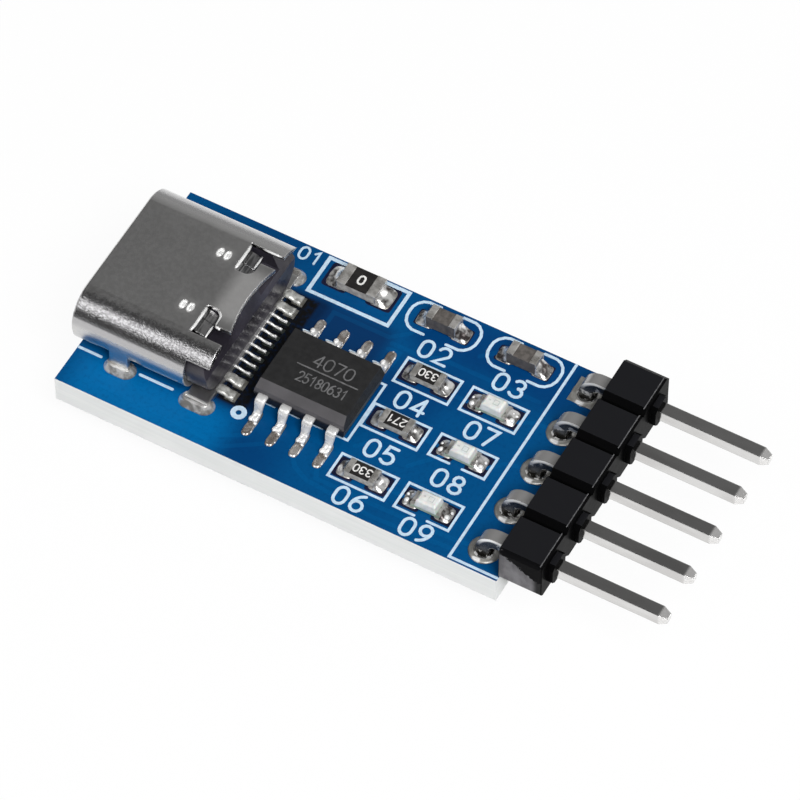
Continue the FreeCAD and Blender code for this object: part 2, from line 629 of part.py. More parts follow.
def make_chip():
    body = new_body("chip_body", "chip_x", "chip_y", PAD_TOP)
    for level, back in (("chip_top - chip_mid", False), ("chip_mid - chip_base", True)):
        plan = sketch_on(body, "XY_Plane", "chip_mid")
        box_outline(plan, 0, 0, "chip_length", "chip_width")
        last = pad(body, plan, level, back=back, taper="-chip_draft")
    top = number("chip_top")
    names = edges_where(last, lambda edge: near(edge.BoundBox.ZMin, top) and edge.BoundBox.YMax < 0)
    dress(body, "Chamfer", last, names, "Size", "chip_bevel")

    leads = new_body("chip_leads", "chip_x", "chip_y", PAD_TOP, pieces=8)
    start = "-1.5*foot_pitch"
    high, low = "chip_mid + lead_thickness/2", "chip_mid - lead_thickness/2"
    knee = "(lead_shoulder + lead_bend)"
    shoulder = sketch_on(leads, "YZ_Plane", start)
    outline(shoulder, [("chip_width/2", low), ("lead_shoulder - lead_thickness/2", low),
                       ("lead_shoulder - lead_thickness/2", high), ("chip_width/2", high)])
    wide = pad(leads, shoulder, "shoulder_width", middle=True)
    shank = sketch_on(leads, "YZ_Plane", start)
    outline(shank, [("lead_shoulder - lead_thickness", low), (f"{knee} - lead_thickness", "0"),
                    ("lead_span", "0"), ("lead_span", "lead_thickness"), (f"{knee}", "lead_thickness"),
                    ("lead_shoulder", high), ("lead_shoulder - lead_thickness", high)])
    slim = pad(leads, shank, "lead_width", middle=True)
    four = body_row(leads, [wide, slim], 4)
    mirror_of(leads, [], whole=True)

    pads = new_body("chip_pads", "chip_x", "chip_y", TOP, pieces=8)
    sketch = sketch_on(pads, "XY_Plane")
    for n in range(4):
        for side in (-1, 1):
            box_outline(sketch, f"{n - 1.5}*foot_pitch", f"{side}*(chip_pad_inner + chip_pad_outer)/2",
                        "chip_pad_width", "chip_pad_outer - chip_pad_inner")
    pad(pads, sketch, "pad_height")

    solder = new_body("chip_solder", "chip_x", "chip_y", PAD_TOP, pieces=8)
    side_view = sketch_on(solder, "YZ_Plane", start)
    outline(side_view, [("lead_span", "0"), ("chip_pad_outer - pad_height", "0"),
                        ("lead_span", "toe_height", "toe_radius", 1)])
    one = pad(solder, side_view, "toe_width", middle=True)
    body_row(solder, [one], 4)
    mirror_of(solder, [], whole=True)


def body_row(body, features, count):
    """A row of everything that the given features made, along X at the chip lead spacing."""
    pattern = row_of(body, features[0], "X_Axis", count, "foot_pitch")
    pattern.Originals = features
    return pattern


SMALL_PADS = []


def end_parts(prefix, x, y, length, width, height, cap, pad_inner, pad_outer, pad_width, fillet_width):
    """Two folded end caps, and a note of the pads and solder that they need."""
    caps = new_body(f"{prefix}_terminals", x, y, PAD_TOP, pieces=2)
    side_view = sketch_on(caps, "XZ_Plane")
    end, inner, skin = f"{length}/2", f"({length}/2 - {cap})", "cap_sheet"
    outline(side_view, [(inner, "0"), (end, "0"), (end, height), (inner, height),
                        (inner, f"{height} - {skin}"), (f"{end} - {skin}", f"{height} - {skin}"),
                        (f"{end} - {skin}", skin), (inner, skin)])
    one = pad(caps, side_view, width, middle=True)
    mirror_of(caps, [one], "YZ_Plane")
    SMALL_PADS.append((x, y, length, height, pad_inner, pad_outer, pad_width, fillet_width))


def core_block(label, x, y, length, width, height):
    """The block that the end caps fold around."""
    body = new_body(label, x, y, PAD_TOP)
    plan = sketch_on(body, "XY_Plane", "cap_sheet")
    box_outline(plan, 0, 0, f"{length} - 2*cap_sheet", width)
    pad(body, plan, f"{height} - 2*cap_sheet")


def make_resistor(prefix, x, y, length="small_length", width="small_width", height="resistor_height",
                  cap="resistor_cap", pad_inner="small_pad_inner", pad_outer="small_pad_outer",
                  pad_width="small_pad_width", fillet_width="fillet_width"):
    core_block(f"{prefix}_body", x, y, length, width, height)
    coat = new_body(f"{prefix}_coat", x, y, PAD_TOP)
    plan = sketch_on(coat, "XY_Plane", f"{height} - cap_sheet")
    box_outline(plan, 0, 0, f"{length} - 2*{cap}", width)
    pad(coat, plan, "coat_height")
    end_parts(prefix, x, y, length, width, height, cap, pad_inner, pad_outer, pad_width, fillet_width)


def make_capacitor(prefix, x, y):
    core_block(f"{prefix}_body", x, y, "small_length", "small_width", "capacitor_height")
    end_parts(prefix, x, y, "small_length", "small_width", "capacitor_height", "capacitor_cap",
              "small_pad_inner", "capacitor_pad_outer", "small_pad_width", "fillet_width")


def make_indicator(prefix, x, y):
    """A base with two folded ends and a clear lens with sloping sides."""
    core_block(f"{prefix}_base", x, y, "small_length", "small_width", "led_base_height")
    lens = new_body(f"{prefix}_lens", x, y, f"{PAD_TOP} + led_base_height - cap_sheet")
    plan = sketch_on(lens, "XY_Plane")
    box_outline(plan, 0, 0, "lens_length", "small_width")
    block = pad(lens, plan, "lens_height + cap_sheet", taper="-lens_draft")
    top = number("lens_height + cap_sheet")
    names = edges_where(block, lambda edge: near(edge.BoundBox.ZMin, top))
    dress(lens, "Chamfer", block, names, "Size", "lens_round")
    end_parts(prefix, x, y, "small_length", "small_width", "led_base_height", "led_cap",
              "small_pad_inner", "small_pad_outer", "small_pad_width", "fillet_width")


def make_small_parts():
    rows = ("row_one", "row_two", "row_three")
    for n, row_place in enumerate(rows, start=1):
        make_resistor(f"resistor_{n}", "column_one", row_place)
        make_indicator(f"indicator_{n}", "column_two", row_place)
    make_capacitor("capacitor_1", "capacitor_one_x", f"{BOARD_WIDTH}/2 - capacitor_edge")
    make_capacitor("capacitor_2", "capacitor_two_x", f"{BOARD_WIDTH}/2 - capacitor_edge")
    make_resistor("link", "link_x", f"{BOARD_WIDTH}/2 - link_edge", "link_length", "link_width", "link_height", "link_cap",
                  "link_pad_inner", "link_pad_outer", "link_pad_width", "link_fillet_width")

    pads = new_body("small_part_pads", 0, 0, TOP, pieces=2 * len(SMALL_PADS))
    plan = sketch_on(pads, "XY_Plane")
    solder = new_body("small_part_solder", 0, 0, PAD_TOP, pieces=2 * len(SMALL_PADS))
    for x, y, length, height, pad_inner, pad_outer, pad_width, fillet_width in SMALL_PADS:
        side_view = sketch_on(solder, "XZ_Plane", f"-({y})")
        rise = f"{height}*fillet_share"
        for side in (-1, 1):
            box_outline(plan, f"{x} + {side}*({pad_inner} + {pad_outer})/2", y,
                        f"{pad_outer} - {pad_inner}", pad_width)
            foot = f"{x} + {side}*({pad_outer} - pad_height)"
            wall = f"{x} + {side}*{length}/2"
            bend = f"1.2*({pad_outer} - {length}/2)"
            outline(side_view, [(wall, "0"), (foot, "0"), (wall, rise, bend, side)])
        pad(solder, side_view, fillet_width, middle=True)
    pad(pads, plan, "pad_height")


def make_housing():
    """Five eight-sided segments in a row, each with a boss and a square bore for its pin."""
    body = new_body("header_housing", "board_length/2", FIRST_PIN, PIN_LEVEL)
    wide, high, notch = "pin_pitch/2", "housing_height/2", "groove_depth"
    face = sketch_on(body, "YZ_Plane")
    outline(face, eight_corners(wide, high, notch))
    segment = pad(body, face, "housing_depth")
    ring = edges_where(segment, lambda edge: near(edge.BoundBox.XMin, number("housing_depth"))
                       and near(edge.BoundBox.ZMin, number(high)))
    edge = dress(body, "Chamfer", segment, ring, "Size", "edge_break")
    front = sketch_on(body, "YZ_Plane", "housing_depth")
    outline(front, eight_corners("boss_width/2", "boss_height/2", "boss_corner"))
    boss = pad(body, front, "boss_reach")
    bore = sketch_on(body, "YZ_Plane")
    box_outline(bore, 0, 0, "pin_size", "pin_size")
    pocket(body, bore)
    row_of(body, None, "Y_Axis", PIN_COUNT, "pin_pitch", whole=True)

    snapped = sketch_on(body, "XY_Plane", f"-{high}")
    box_outline(snapped, "housing_depth/2", f"-{wide}", "2*housing_depth", "2*snap_short")
    pocket(body, snapped, "housing_height", forward=True)


def eight_corners(wide, high, bevel):
    """A rectangle with bevelled corners, about its middle."""
    return [(f"-({wide}) + {bevel}", f"-({high})"), (f"({wide}) - {bevel}", f"-({high})"),
            (wide, f"-({high}) + {bevel}"), (wide, f"({high}) - {bevel}"), (f"({wide}) - {bevel}", high),
            (f"-({wide}) + {bevel}", high), (f"-({wide})", f"({high}) - {bevel}"),
            (f"-({wide})", f"-({high}) + {bevel}")]


def make_pin(number_in_row):
    """A square pin, bent down into its hole, with a tapered tip and tail."""
    body = new_body(f"header_pin_{number_in_row}", 0, f"{number_in_row - (PIN_COUNT + 1) / 2}*pin_pitch", 0)
    route = sketch_on(body, "XZ_Plane")
    tip_start, tail_start = f"({PIN_TIP} - pin_taper)", "(-pin_tail + pin_taper)"
    ends = [(tip_start, PIN_LEVEL), (f"{PIN_X} + pin_bend", PIN_LEVEL), (PIN_X, f"{PIN_LEVEL} - pin_bend"),
            (PIN_X, tail_start)]
    places = [FreeCAD.Vector(number(x), number(y), 0) for x, y in ends]
    level = route.addGeometry(Part.LineSegment(places[0], places[1]), False)
    bend = FreeCAD.Vector(places[1].x, places[2].y, 0)
    circle = Part.Circle(bend, FreeCAD.Vector(0, 0, 1), number("pin_bend"))
    elbow = route.addGeometry(Part.ArcOfCircle(circle, math.pi / 2, math.pi), False)
    drop = route.addGeometry(Part.LineSegment(places[2], places[3]), False)
    route.addConstraint(Sketcher.Constraint("Coincident", level, 2, elbow, 1))
    route.addConstraint(Sketcher.Constraint("Coincident", elbow, 2, drop, 1))
    for piece, end, place in ((level, 1, 0), (level, 2, 1), (drop, 1, 2), (drop, 2, 3)):
        fix_point(route, piece, end, *ends[place])
    rule = route.addConstraint(Sketcher.Constraint("Radius", elbow, number("pin_bend")))
    bind(route, f"Constraints[{rule}]", "pin_bend")

    square = sketch_on(body, "YZ_Plane", tip_start)
    box_outline(square, 0, PIN_LEVEL, "pin_size", "pin_size")
    shaft = body.newObject("PartDesign::AdditivePipe", body.Name + "_pipe")
    shaft.Profile = square
    shaft.Spine = (route, [])
    narrowing = "-atan(pin_tip_inset/pin_taper)"
    tip = sketch_on(body, "YZ_Plane", tip_start)
    box_outline(tip, 0, PIN_LEVEL, "pin_size", "pin_size")
    pad(body, tip, "pin_taper", taper=narrowing)
    tail = sketch_on(body, "XY_Plane", tail_start)
    box_outline(tail, PIN_X, 0, "pin_size", "pin_size")
    pad(body, tail, "pin_taper", back=True, taper=narrowing)


def make_pin_solder():
    """Each plated hole with its copper and solder: a rounded rim above, a fill that stops short of the
    top, and a cone below. The first pin's pads are square."""
    body = new_body("header_solder", PIN_X, FIRST_PIN, 0, pieces=PIN_COUNT)
    half = sketch_on(body, "XZ_Plane")
    fill, rim_top = "(board_thickness - fill_depth)", "(board_thickness + rim_height)"
    inner = "(pin_hole_radius - plating)"
    outline(half, [("0", fill), ("0", "-cone_bottom"), ("cone_neck", "-cone_bottom"),
                   ("pin_pad_radius", "0"), ("pin_hole_radius", "0"), ("pin_hole_radius", TOP),
                   ("pin_pad_radius", TOP), (inner, rim_top), (inner, fill)])
    cone = body.newObject("PartDesign::Revolution", "solder_cone")
    cone.Profile = half
    cone.ReferenceAxis = (half, ["V_Axis"])
    cone.Angle = 360
    bore = sketch_on(body, "XY_Plane")
    box_outline(bore, 0, 0, "pin_size", "pin_size")
    pocket(body, bore)
    row_of(body, None, "Y_Axis", PIN_COUNT, "pin_pitch", whole=True)
    for lift in (TOP, "-pad_height"):
        square = sketch_on(body, "XY_Plane", lift)
        middle = f"{PIN_COUNT - 1}*pin_pitch"
        box_outline(square, 0, middle, "first_pad_side", "first_pad_side")
        disc_outline(square, 0, middle, "pin_hole_radius")
        pad(body, square, "pad_height")


def check_all():
    """Every object is up to date, and every piece is a valid shape of the number of solids it should be."""
    doc.recompute()
    for item in doc.Objects:
        if "Invalid" in item.State or "Error" in item.State:
            raise RuntimeError(f"{item.Name}: {item.State}")
    for body, pieces in NODES:
        shape = body.Shape
        if shape.isNull() or not shape.isValid():
            raise RuntimeError(f"{body.Label}: the shape is null or not valid")
        if len(shape.Solids) != pieces:
            raise RuntimeError(f"{body.Label}: {len(shape.Solids)} solids in place of {pieces}")


def main():
    make_board()
    make_shell()
    make_insulator()
    make_contacts()
    make_tails()
    make_tail_pads()
    make_leg_solder()
    make_chip()
    make_small_parts()
    make_housing()
    for n in range(PIN_COUNT):
        make_pin(n + 1)
    make_pin_solder()
    check_all()
    os.makedirs("parts", exist_ok=True)
    for body, pieces in NODES:
        body.Shape.exportStep(f"parts/{body.Label}.step")
    print(len(NODES), "pieces written")


main()
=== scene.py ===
import json
import math

import bmesh
import bpy
from mathutils import Matrix, Vector, noise as lumpy

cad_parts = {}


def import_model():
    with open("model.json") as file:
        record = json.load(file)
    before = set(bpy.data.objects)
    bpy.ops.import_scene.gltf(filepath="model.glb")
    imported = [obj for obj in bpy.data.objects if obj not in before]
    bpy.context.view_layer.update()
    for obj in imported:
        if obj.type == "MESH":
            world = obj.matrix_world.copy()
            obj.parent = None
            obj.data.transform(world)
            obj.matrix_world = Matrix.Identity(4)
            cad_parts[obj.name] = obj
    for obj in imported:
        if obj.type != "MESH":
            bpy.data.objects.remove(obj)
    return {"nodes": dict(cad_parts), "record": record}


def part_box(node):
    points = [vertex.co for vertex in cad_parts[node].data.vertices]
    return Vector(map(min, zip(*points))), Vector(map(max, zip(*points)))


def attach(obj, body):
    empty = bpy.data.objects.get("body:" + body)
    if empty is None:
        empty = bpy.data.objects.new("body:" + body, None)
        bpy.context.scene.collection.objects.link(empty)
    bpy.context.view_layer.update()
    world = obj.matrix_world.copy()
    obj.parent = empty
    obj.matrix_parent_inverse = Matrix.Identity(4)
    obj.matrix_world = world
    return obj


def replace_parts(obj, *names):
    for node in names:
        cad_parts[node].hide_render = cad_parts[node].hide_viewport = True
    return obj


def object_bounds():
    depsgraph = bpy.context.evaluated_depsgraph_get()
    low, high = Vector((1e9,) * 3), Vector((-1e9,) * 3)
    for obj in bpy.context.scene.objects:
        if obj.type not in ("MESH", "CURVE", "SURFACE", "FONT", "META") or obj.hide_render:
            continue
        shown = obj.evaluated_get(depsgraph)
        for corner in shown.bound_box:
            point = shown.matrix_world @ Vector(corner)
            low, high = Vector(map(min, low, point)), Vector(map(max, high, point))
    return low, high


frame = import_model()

# The looks of the usb to serial adapter module: materials, printed marks, solder and worn edges,
# with the photo's camera and light. Lengths are in millimetres where nothing else is said.
MM = 0.001
nodes = frame["nodes"]
SLOTS = {part["node"]: part["material_slot"] for part in frame["record"]["subparts"]}
cad_box = [list(map(float, corner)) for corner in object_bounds()]


def low_of(node):
    """The low corner of a node's box, in millimetres."""
    return [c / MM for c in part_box(node)[0]]


def high_of(node):
    """The high corner of a node's box, in millimetres."""
    return [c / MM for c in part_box(node)[1]]


def middle_of(node):
    """The middle of a node's box, in millimetres."""
    return [(a + b) / 2 for a, b in zip(low_of(node), high_of(node))]


# ---------------------------------------------------------------- places and sizes
BOARD_TOP = high_of("circuit_board")[2]
EDGE_X, EDGE_Y = low_of("circuit_board")[:2]
SHELL_REAR, _, SHELL_TOP = high_of("usb_shell")
WINDOW_FRONT, WINDOW_HALF = SHELL_REAR - 1.75, 2.96
WELD_PLACES = (4.43, 4.83)  # along x from the board's corner
WELD_ROWS = (-EDGE_Y - 1.74, -EDGE_Y + 1.74)  # along y from the board's corner
CHIP_X, CHIP_Y = middle_of("chip_body")[:2]
PINS, PIN_PITCH = 5, 2.54
LEADS, LEAD_PITCH = 4, 1.27
TAILS, TAIL_PITCH = 8, 0.5
PIN_BEND, PIN_RISE = 0.7, 1.25
PIN_TIP = high_of("header_pin_1")[0]
HOLE_X = middle_of("header_solder")[0]
HOUSE_LOW, HOUSE_HIGH = low_of("header_housing"), high_of("header_housing")
TEAR_SLOPE = 0.57


# ---------------------------------------------------------------- node helpers
class Tree:
    """Short ways to build a node tree."""

    def __init__(self, tree):
        self.tree = tree

    def add(self, kind, **settings):
        node = self.tree.nodes.new(kind)
        for key, value in settings.items():
            setattr(node, key, value)
        return node

    def link(self, source, target):
        self.tree.links.new(source, target)

    def feed(self, socket, value):
        """Link a socket to an output, or set it to a plain value."""
        if hasattr(value, "is_output"):
            self.link(value, socket)
        else:
            socket.default_value = value

    def split(self, vector):
        node = self.add("ShaderNodeSeparateXYZ")
        self.link(vector, node.inputs[0])
        return node.outputs

    def math(self, operation, a, b=0.0, c=0.0):
        node = self.add("ShaderNodeMath", operation=operation)
        for socket, value in zip(node.inputs, (a, b, c)):
            self.feed(socket, value)
        return node.outputs[0]

    def times(self, product, *others):
        for value in others:
            product = self.math("MULTIPLY", product, value)
        return product

    def minus(self, a, b):
        return self.math("SUBTRACT", a, b)

    def linear(self, value, slope, start):
        return self.math("MULTIPLY_ADD", value, slope, start)

    def length(self, a, b):
        """The length of the vector (a, b)."""
        return self.math("SQRT", self.math("ADD", self.times(a, a), self.times(b, b)))

    def ramp(self, value, low, high, out_low=0.0, out_high=1.0):
        """A smooth step from out_low at low to out_high at high."""
        node = self.add("ShaderNodeMapRange", interpolation_type="SMOOTHSTEP")
        for name, number in (("From Min", low), ("From Max", high),
                             ("To Min", out_low), ("To Max", out_high)):
            self.feed(node.inputs[name], number)
        self.feed(node.inputs["Value"], value)
        return node.outputs["Result"]

    def band(self, value, rise, full, fading, gone):
        """1 between full and fading, down to 0 at rise and at gone."""
        return self.times(self.ramp(value, rise, full), self.ramp(value, gone, fading))


class Skin(Tree):
    """One material: its shader and its place sockets, in millimetres."""

    def __init__(self, name):
        self.material = bpy.data.materials.new(name)
        self.material.use_nodes = True
        super().__init__(self.material.node_tree)
        self.shader = self.tree.nodes["Principled BSDF"]
        scale = self.add("ShaderNodeVectorMath", operation="SCALE")
        scale.inputs["Scale"].default_value = 1 / MM
        self.link(self.add("ShaderNodeTexCoord").outputs["Object"], scale.inputs[0])
        self.mm = scale.outputs[0]
        self.x, self.y, self.z = self.split(self.mm)

    def facing(self):
        return self.split(self.add("ShaderNodeNewGeometry").outputs["True Normal"])

    def noise(self, scale, detail=3.0, rough=0.5, stretch=None):
        node = self.add("ShaderNodeTexNoise")
        for name, value in (("Scale", scale), ("Detail", detail), ("Roughness", rough)):
            node.inputs[name].default_value = value
        source = self.mm
        if stretch:
            mapping = self.add("ShaderNodeMapping")
            mapping.inputs["Scale"].default_value = stretch
            self.link(source, mapping.inputs["Vector"])
            source = mapping.outputs["Vector"]
        self.link(source, node.inputs["Vector"])
        return node.outputs["Fac"]

    def mix(self, share, a, b):
        """Colour a turning into colour b as share goes from 0 to 1."""
        node = self.add("ShaderNodeMix", data_type="RGBA")
        self.feed(node.inputs["Factor"], share)
        for name, color in (("A", a), ("B", b)):
            self.feed(node.inputs[name], color if hasattr(color, "is_output") else (*color, 1))
        return node.outputs["Result"]

    def worn_edge(self, radius):
        node = self.add("ShaderNodeBevel", samples=4)
        node.inputs["Radius"].default_value = radius * MM
        return node.outputs["Normal"]

    def bump(self, height, depth, under=None):
        """A relief of the given depth in millimetres over another normal."""
        node = self.add("ShaderNodeBump")
        node.inputs["Distance"].default_value = depth * MM
        self.link(height, node.inputs["Height"])
        if under is not None:
            self.link(under, node.inputs["Normal"])
        return node.outputs["Normal"]

    def patch(self, x0, y0, x1, y1, soft):
        """1 inside a rectangle given from the board's corner, fading over soft."""
        x = self.minus(self.x, EDGE_X)
        y = self.minus(self.y, EDGE_Y)
        return self.times(self.band(x, x0 - soft, x0 + soft, x1 - soft, x1 + soft),
                          self.band(y, y0 - soft, y0 + soft, y1 - soft, y1 + soft))

    def oval(self, x, y, half_x, half_y, soft):
        """1 inside an oval given from the board's corner, fading over a share of its size."""
        dx = self.math("DIVIDE", self.minus(self.x, EDGE_X + x), half_x)
        dy = self.math("DIVIDE", self.minus(self.y, EDGE_Y + y), half_y)
        return self.ramp(self.length(dx, dy), 1 + soft, 1 - soft)

    def set(self, **values):
        """Feed the shader's sockets, named with _ for each space."""
        for name, value in values.items():
            self.feed(self.shader.inputs[name.replace("_", " ")], value)


# ---------------------------------------------------------------- materials
# Corners from the board's corner, how softly the patch fades, and the mask's tone in it: painted
# light at the near left, painted shade by the parts and below the rear tails
MASK_LIGHT_AND_SHADE = (
    ((0.5, -0.5, 8.6, 2.3), 0.9, (0.0, 0.128, 0.36)),  # bright at the near left
    ((8.3, 7.9, 12.8, 10.2), 0.5, (0.002, 0.032, 0.115)),  # behind the chip
    ((13.4, 10.0, 21.0, 12.7), 0.7, (0.0, 0.046, 0.17)),  # round the capacitors
    ((7.0, 2.6, 9.3, 10.2), 0.35, (0.002, 0.017, 0.06)),  # between the receptacle and the chip
    ((7.2, 2.75, 8.75, 9.95), 0.1, (0.005, 0.005, 0.005)),  # below the rear tails
)


def mask_material(name, lighter=0.0):
    """Blue mask on both faces, mottled, with patches of painted light and shade on its top; pale
    laminate on cut sides.
    """
    m = Skin(name)
    up = m.facing()[2]
    flat = m.math("GREATER_THAN", m.math("ABSOLUTE", up), 0.7)
    top = m.math("GREATER_THAN", up, 0.7)
    mask = m.mix(m.ramp(m.noise(0.16, 2.0), 0.36, 0.64), (0.0, 0.046, 0.165), (0.0, 0.072, 0.222))
    for corners, soft, tone in MASK_LIGHT_AND_SHADE:
        mask = m.mix(m.times(top, m.patch(*corners, soft)), mask, tone)
    grain = m.ramp(m.noise(5.0, 4.0, 0.6), 0.45, 0.75)
    mask = m.mix(m.times(grain, 0.3), mask, (0.0, 0.03, 0.12))
    if lighter:
        mask = m.mix(lighter, mask, (0.0, 0.17, 0.45))
    layers = m.noise(1.0, 2.0, stretch=(0.25, 0.25, 5.0))
    fibre = m.mix(m.ramp(layers, 0.3, 0.7), (0.76, 0.775, 0.77), (0.80, 0.81, 0.805))
    m.set(Base_Color=mask if lighter else m.mix(flat, fibre, mask), Specular_IOR_Level=0.12)
    m.set(Roughness=m.linear(flat, -0.35, 0.7))
    m.set(Normal=m.bump(m.noise(1.6, 3.0, 0.5), 0.004))
    return m.material


def shell_material():
    """Satin nickel sheet, mottled where it is bent round, with painted light and shade at its
    welds, rear, windows and bends.
    """
    m = Skin("shell_nickel")
    aside = m.math("ABSOLUTE", m.y)
    tone = m.mix(m.ramp(m.noise(0.3, 2.0), 0.35, 0.65), (0.66, 0.655, 0.65), (0.72, 0.715, 0.71))
    # A painted pool of light toward the shell's rear
    lit = m.patch(5.8, 4.8, 7.3, 7.9, 0.45)
    tone = m.mix(lit, tone, (0.88, 0.87, 0.86))

    # Painted highlights: a lighter patch round each row of welds and near-white ovals on the welds
    weld_glint = 0.0
    for y in WELD_ROWS:
        tone = m.mix(m.patch(4.15, y - 0.42, 5.1, y + 0.42, 0.22), tone, (0.88, 0.87, 0.86))
        for x in WELD_PLACES:
            weld_glint = m.math("ADD", weld_glint, m.oval(x, y, 0.165, 0.27, 0.25))
    weld_glint = m.times(weld_glint, m.math("GREATER_THAN", m.z, SHELL_TOP - 0.15))
    tone = m.mix(weld_glint, tone, (0.93, 0.93, 0.92))

    # Each window: painted shade on the bend just behind its front edge, then the streaked flap,
    # darkened by painted shade
    front, window = WINDOW_FRONT, m.math("LESS_THAN", aside, WINDOW_HALF)
    bend = m.times(m.band(m.x, front - 0.02, front + 0.02, front + 0.2, front + 0.26),
                   m.ramp(m.z, SHELL_TOP - 0.04, SHELL_TOP - 0.1), window)
    tone = m.mix(bend, tone, (0.12, 0.12, 0.12))
    flap = m.times(m.band(m.x, front + 0.2, front + 0.3, front + 0.8, front + 0.9),
                   m.ramp(m.z, SHELL_TOP - 0.1, SHELL_TOP - 0.2), window)
    streaks = m.ramp(m.noise(2.4, 3.0, 0.5, (2.2, 0.5, 0.5)), 0.38, 0.6)
    tone = m.mix(flap, tone, m.mix(streaks, (0.18, 0.18, 0.185), (0.44, 0.435, 0.44)))

    # The round sides, darkened by painted shade, with a painted shade line and a painted highlight
    # line along them
    bent = m.times(m.ramp(aside, 3.1, 3.5), m.ramp(m.z, 3.4, 3.8))
    tone = m.mix(bent, tone, (0.50, 0.495, 0.50))
    round_side = m.ramp(aside, 3.6, 3.8)
    for levels, grey in (((3.98, 4.08, 4.16, 4.3), (0.22, 0.22, 0.225)),
                         ((4.3, 4.38, 4.48, 4.56), (0.66, 0.655, 0.66))):
        tone = m.mix(m.times(m.band(m.z, *levels), round_side), tone, grey)

    # Painted dark and bright speckle on the near one: a sparkling painted highlight band with
    # painted shade flecks
    speck = m.ramp(m.noise(7.0, 3.0, 0.65), 0.4, 0.62)
    near = m.times(m.ramp(m.z, 4.12, 4.4), m.ramp(m.y, -3.0, -3.3))
    tone = m.mix(m.times(near, 0.42, m.ramp(speck, 0.45, 0.0)), tone, (0.24, 0.23, 0.25))
    tone = m.mix(m.times(near, 0.3, m.ramp(speck, 0.55, 1.0)), tone, (0.90, 0.89, 0.93))

    m.set(Base_Color=tone, Metallic=m.linear(lit, -0.13, m.linear(weld_glint, -0.8, 1.0)))
    rough = m.ramp(m.noise(5.0, 3.0), 0.35, 0.65, 0.31, 0.35)
    m.set(Roughness=m.linear(weld_glint, 0.2, m.linear(bent, -0.13, rough)))
    m.set(Normal=m.bump(m.times(m.noise(12.0, 2.0, 0.6), bent), 0.012, m.worn_edge(0.09)))
    return m.material


def metal_material(name, low, high, lump_scale, lump, rough, edge=0.03, tone_scale=None, metal=1.0):
    """Metal whose colour, gloss and surface run in smooth lumps; metal below 1 is a dull skin."""
    m = Skin(name)
    lumps = m.noise(lump_scale, 1.5, 0.45)
    tone = m.noise(tone_scale or lump_scale * 1.4, 3.0, 0.55)
    m.set(Base_Color=m.mix(m.ramp(tone, 0.36, 0.64), low, high))
    m.set(Metallic=metal, Roughness=m.ramp(m.noise(lump_scale * 2.5, 2.0), 0.35, 0.65, *rough))
    m.set(Normal=m.bump(lumps, lump, m.worn_edge(edge) if edge else None))
    return m.material


def pin_material():
    """Plated square pin: a painted highlight round its bend, painted shade on the flank there,
    painted glints on painted shade where it goes into its hole.
    """
    m = Skin("plated_pin")
    drawn = (0.35, 1.0, 1.0)
    tone = m.ramp(m.noise(0.9, 3.0, 0.55, drawn), 0.36, 0.64)
    tone = m.mix(tone, (0.62, 0.61, 0.60), (0.72, 0.715, 0.705))
    near = m.ramp(m.x, HOUSE_LOW[0] + 0.1, HOUSE_LOW[0] - 0.1)
    side = m.math("GREATER_THAN", m.math("ABSOLUTE", m.facing()[1]), 0.5)
    bend_x, bend_z = HOLE_X + PIN_BEND, BOARD_TOP + PIN_RISE - PIN_BEND
    reach = m.length(m.math("MINIMUM", m.minus(m.x, bend_x), 0.0),
                     m.math("MAXIMUM", m.minus(m.z, bend_z), 0.0))
    # Painted highlight: a bright crescent round the bend; painted shade on the flank beside it
    rim = m.times(m.ramp(reach, PIN_BEND + 0.08, PIN_BEND + 0.2),
                  m.ramp(m.z, bend_z + 0.05, bend_z + 0.75))
    dark = m.ramp(m.noise(2.4, 2.0), 0.58, 0.68)
    dark = m.mix(dark, (0.035, 0.04, 0.048), (0.45, 0.45, 0.45))
    flank = m.mix(rim, dark, (0.96, 0.95, 0.93))
    # Painted glints on painted shade, low down where the pin goes into its hole
    lit = m.ramp(m.noise(3.4, 2.0), 0.56, 0.62)
    lit = m.mix(lit, (0.045, 0.042, 0.036), (0.85, 0.84, 0.82))
    sunk = m.ramp(m.z, BOARD_TOP + 0.5, BOARD_TOP + 0.2)
    bare = m.mix(sunk, m.mix(side, (0.42, 0.415, 0.41), flank), lit)
    tip = m.ramp(m.x, PIN_TIP - 0.5, PIN_TIP - 0.34)
    m.set(Base_Color=m.mix(tip, m.mix(near, tone, bare), (0.80, 0.79, 0.78)))
    dulled = m.times(near, m.linear(m.times(rim, side), 0.45, 0.45))
    m.set(Metallic=m.minus(m.linear(tip, -0.3, 1.0), dulled))
    m.set(Roughness=m.linear(near, 0.12, 0.13))
    m.set(Normal=m.bump(m.noise(0.7, 1.5, 0.45, drawn), 0.006, m.worn_edge(0.06)))
    return m.material


def tail_pad_material():
    """Tin under the wide tails, dark under the narrow ones, which lie in the housing's shade."""
    m = Skin("tail_pads")
    narrow = m.ramp(m.math("ABSOLUTE", m.y), 2.15, 2.05)
    tin = m.mix(m.ramp(m.noise(3.0), 0.35, 0.65), (0.26, 0.25, 0.22), (0.46, 0.45, 0.42))
    m.set(Base_Color=m.mix(narrow, tin, (0.022, 0.027, 0.024)))
    m.set(Metallic=m.linear(narrow, -0.8, 0.9))
    m.set(Roughness=m.ramp(m.noise(5.0), 0.3, 0.7, 0.35, 0.5), Normal=m.bump(m.noise(2.0), 0.02))
    return m.material


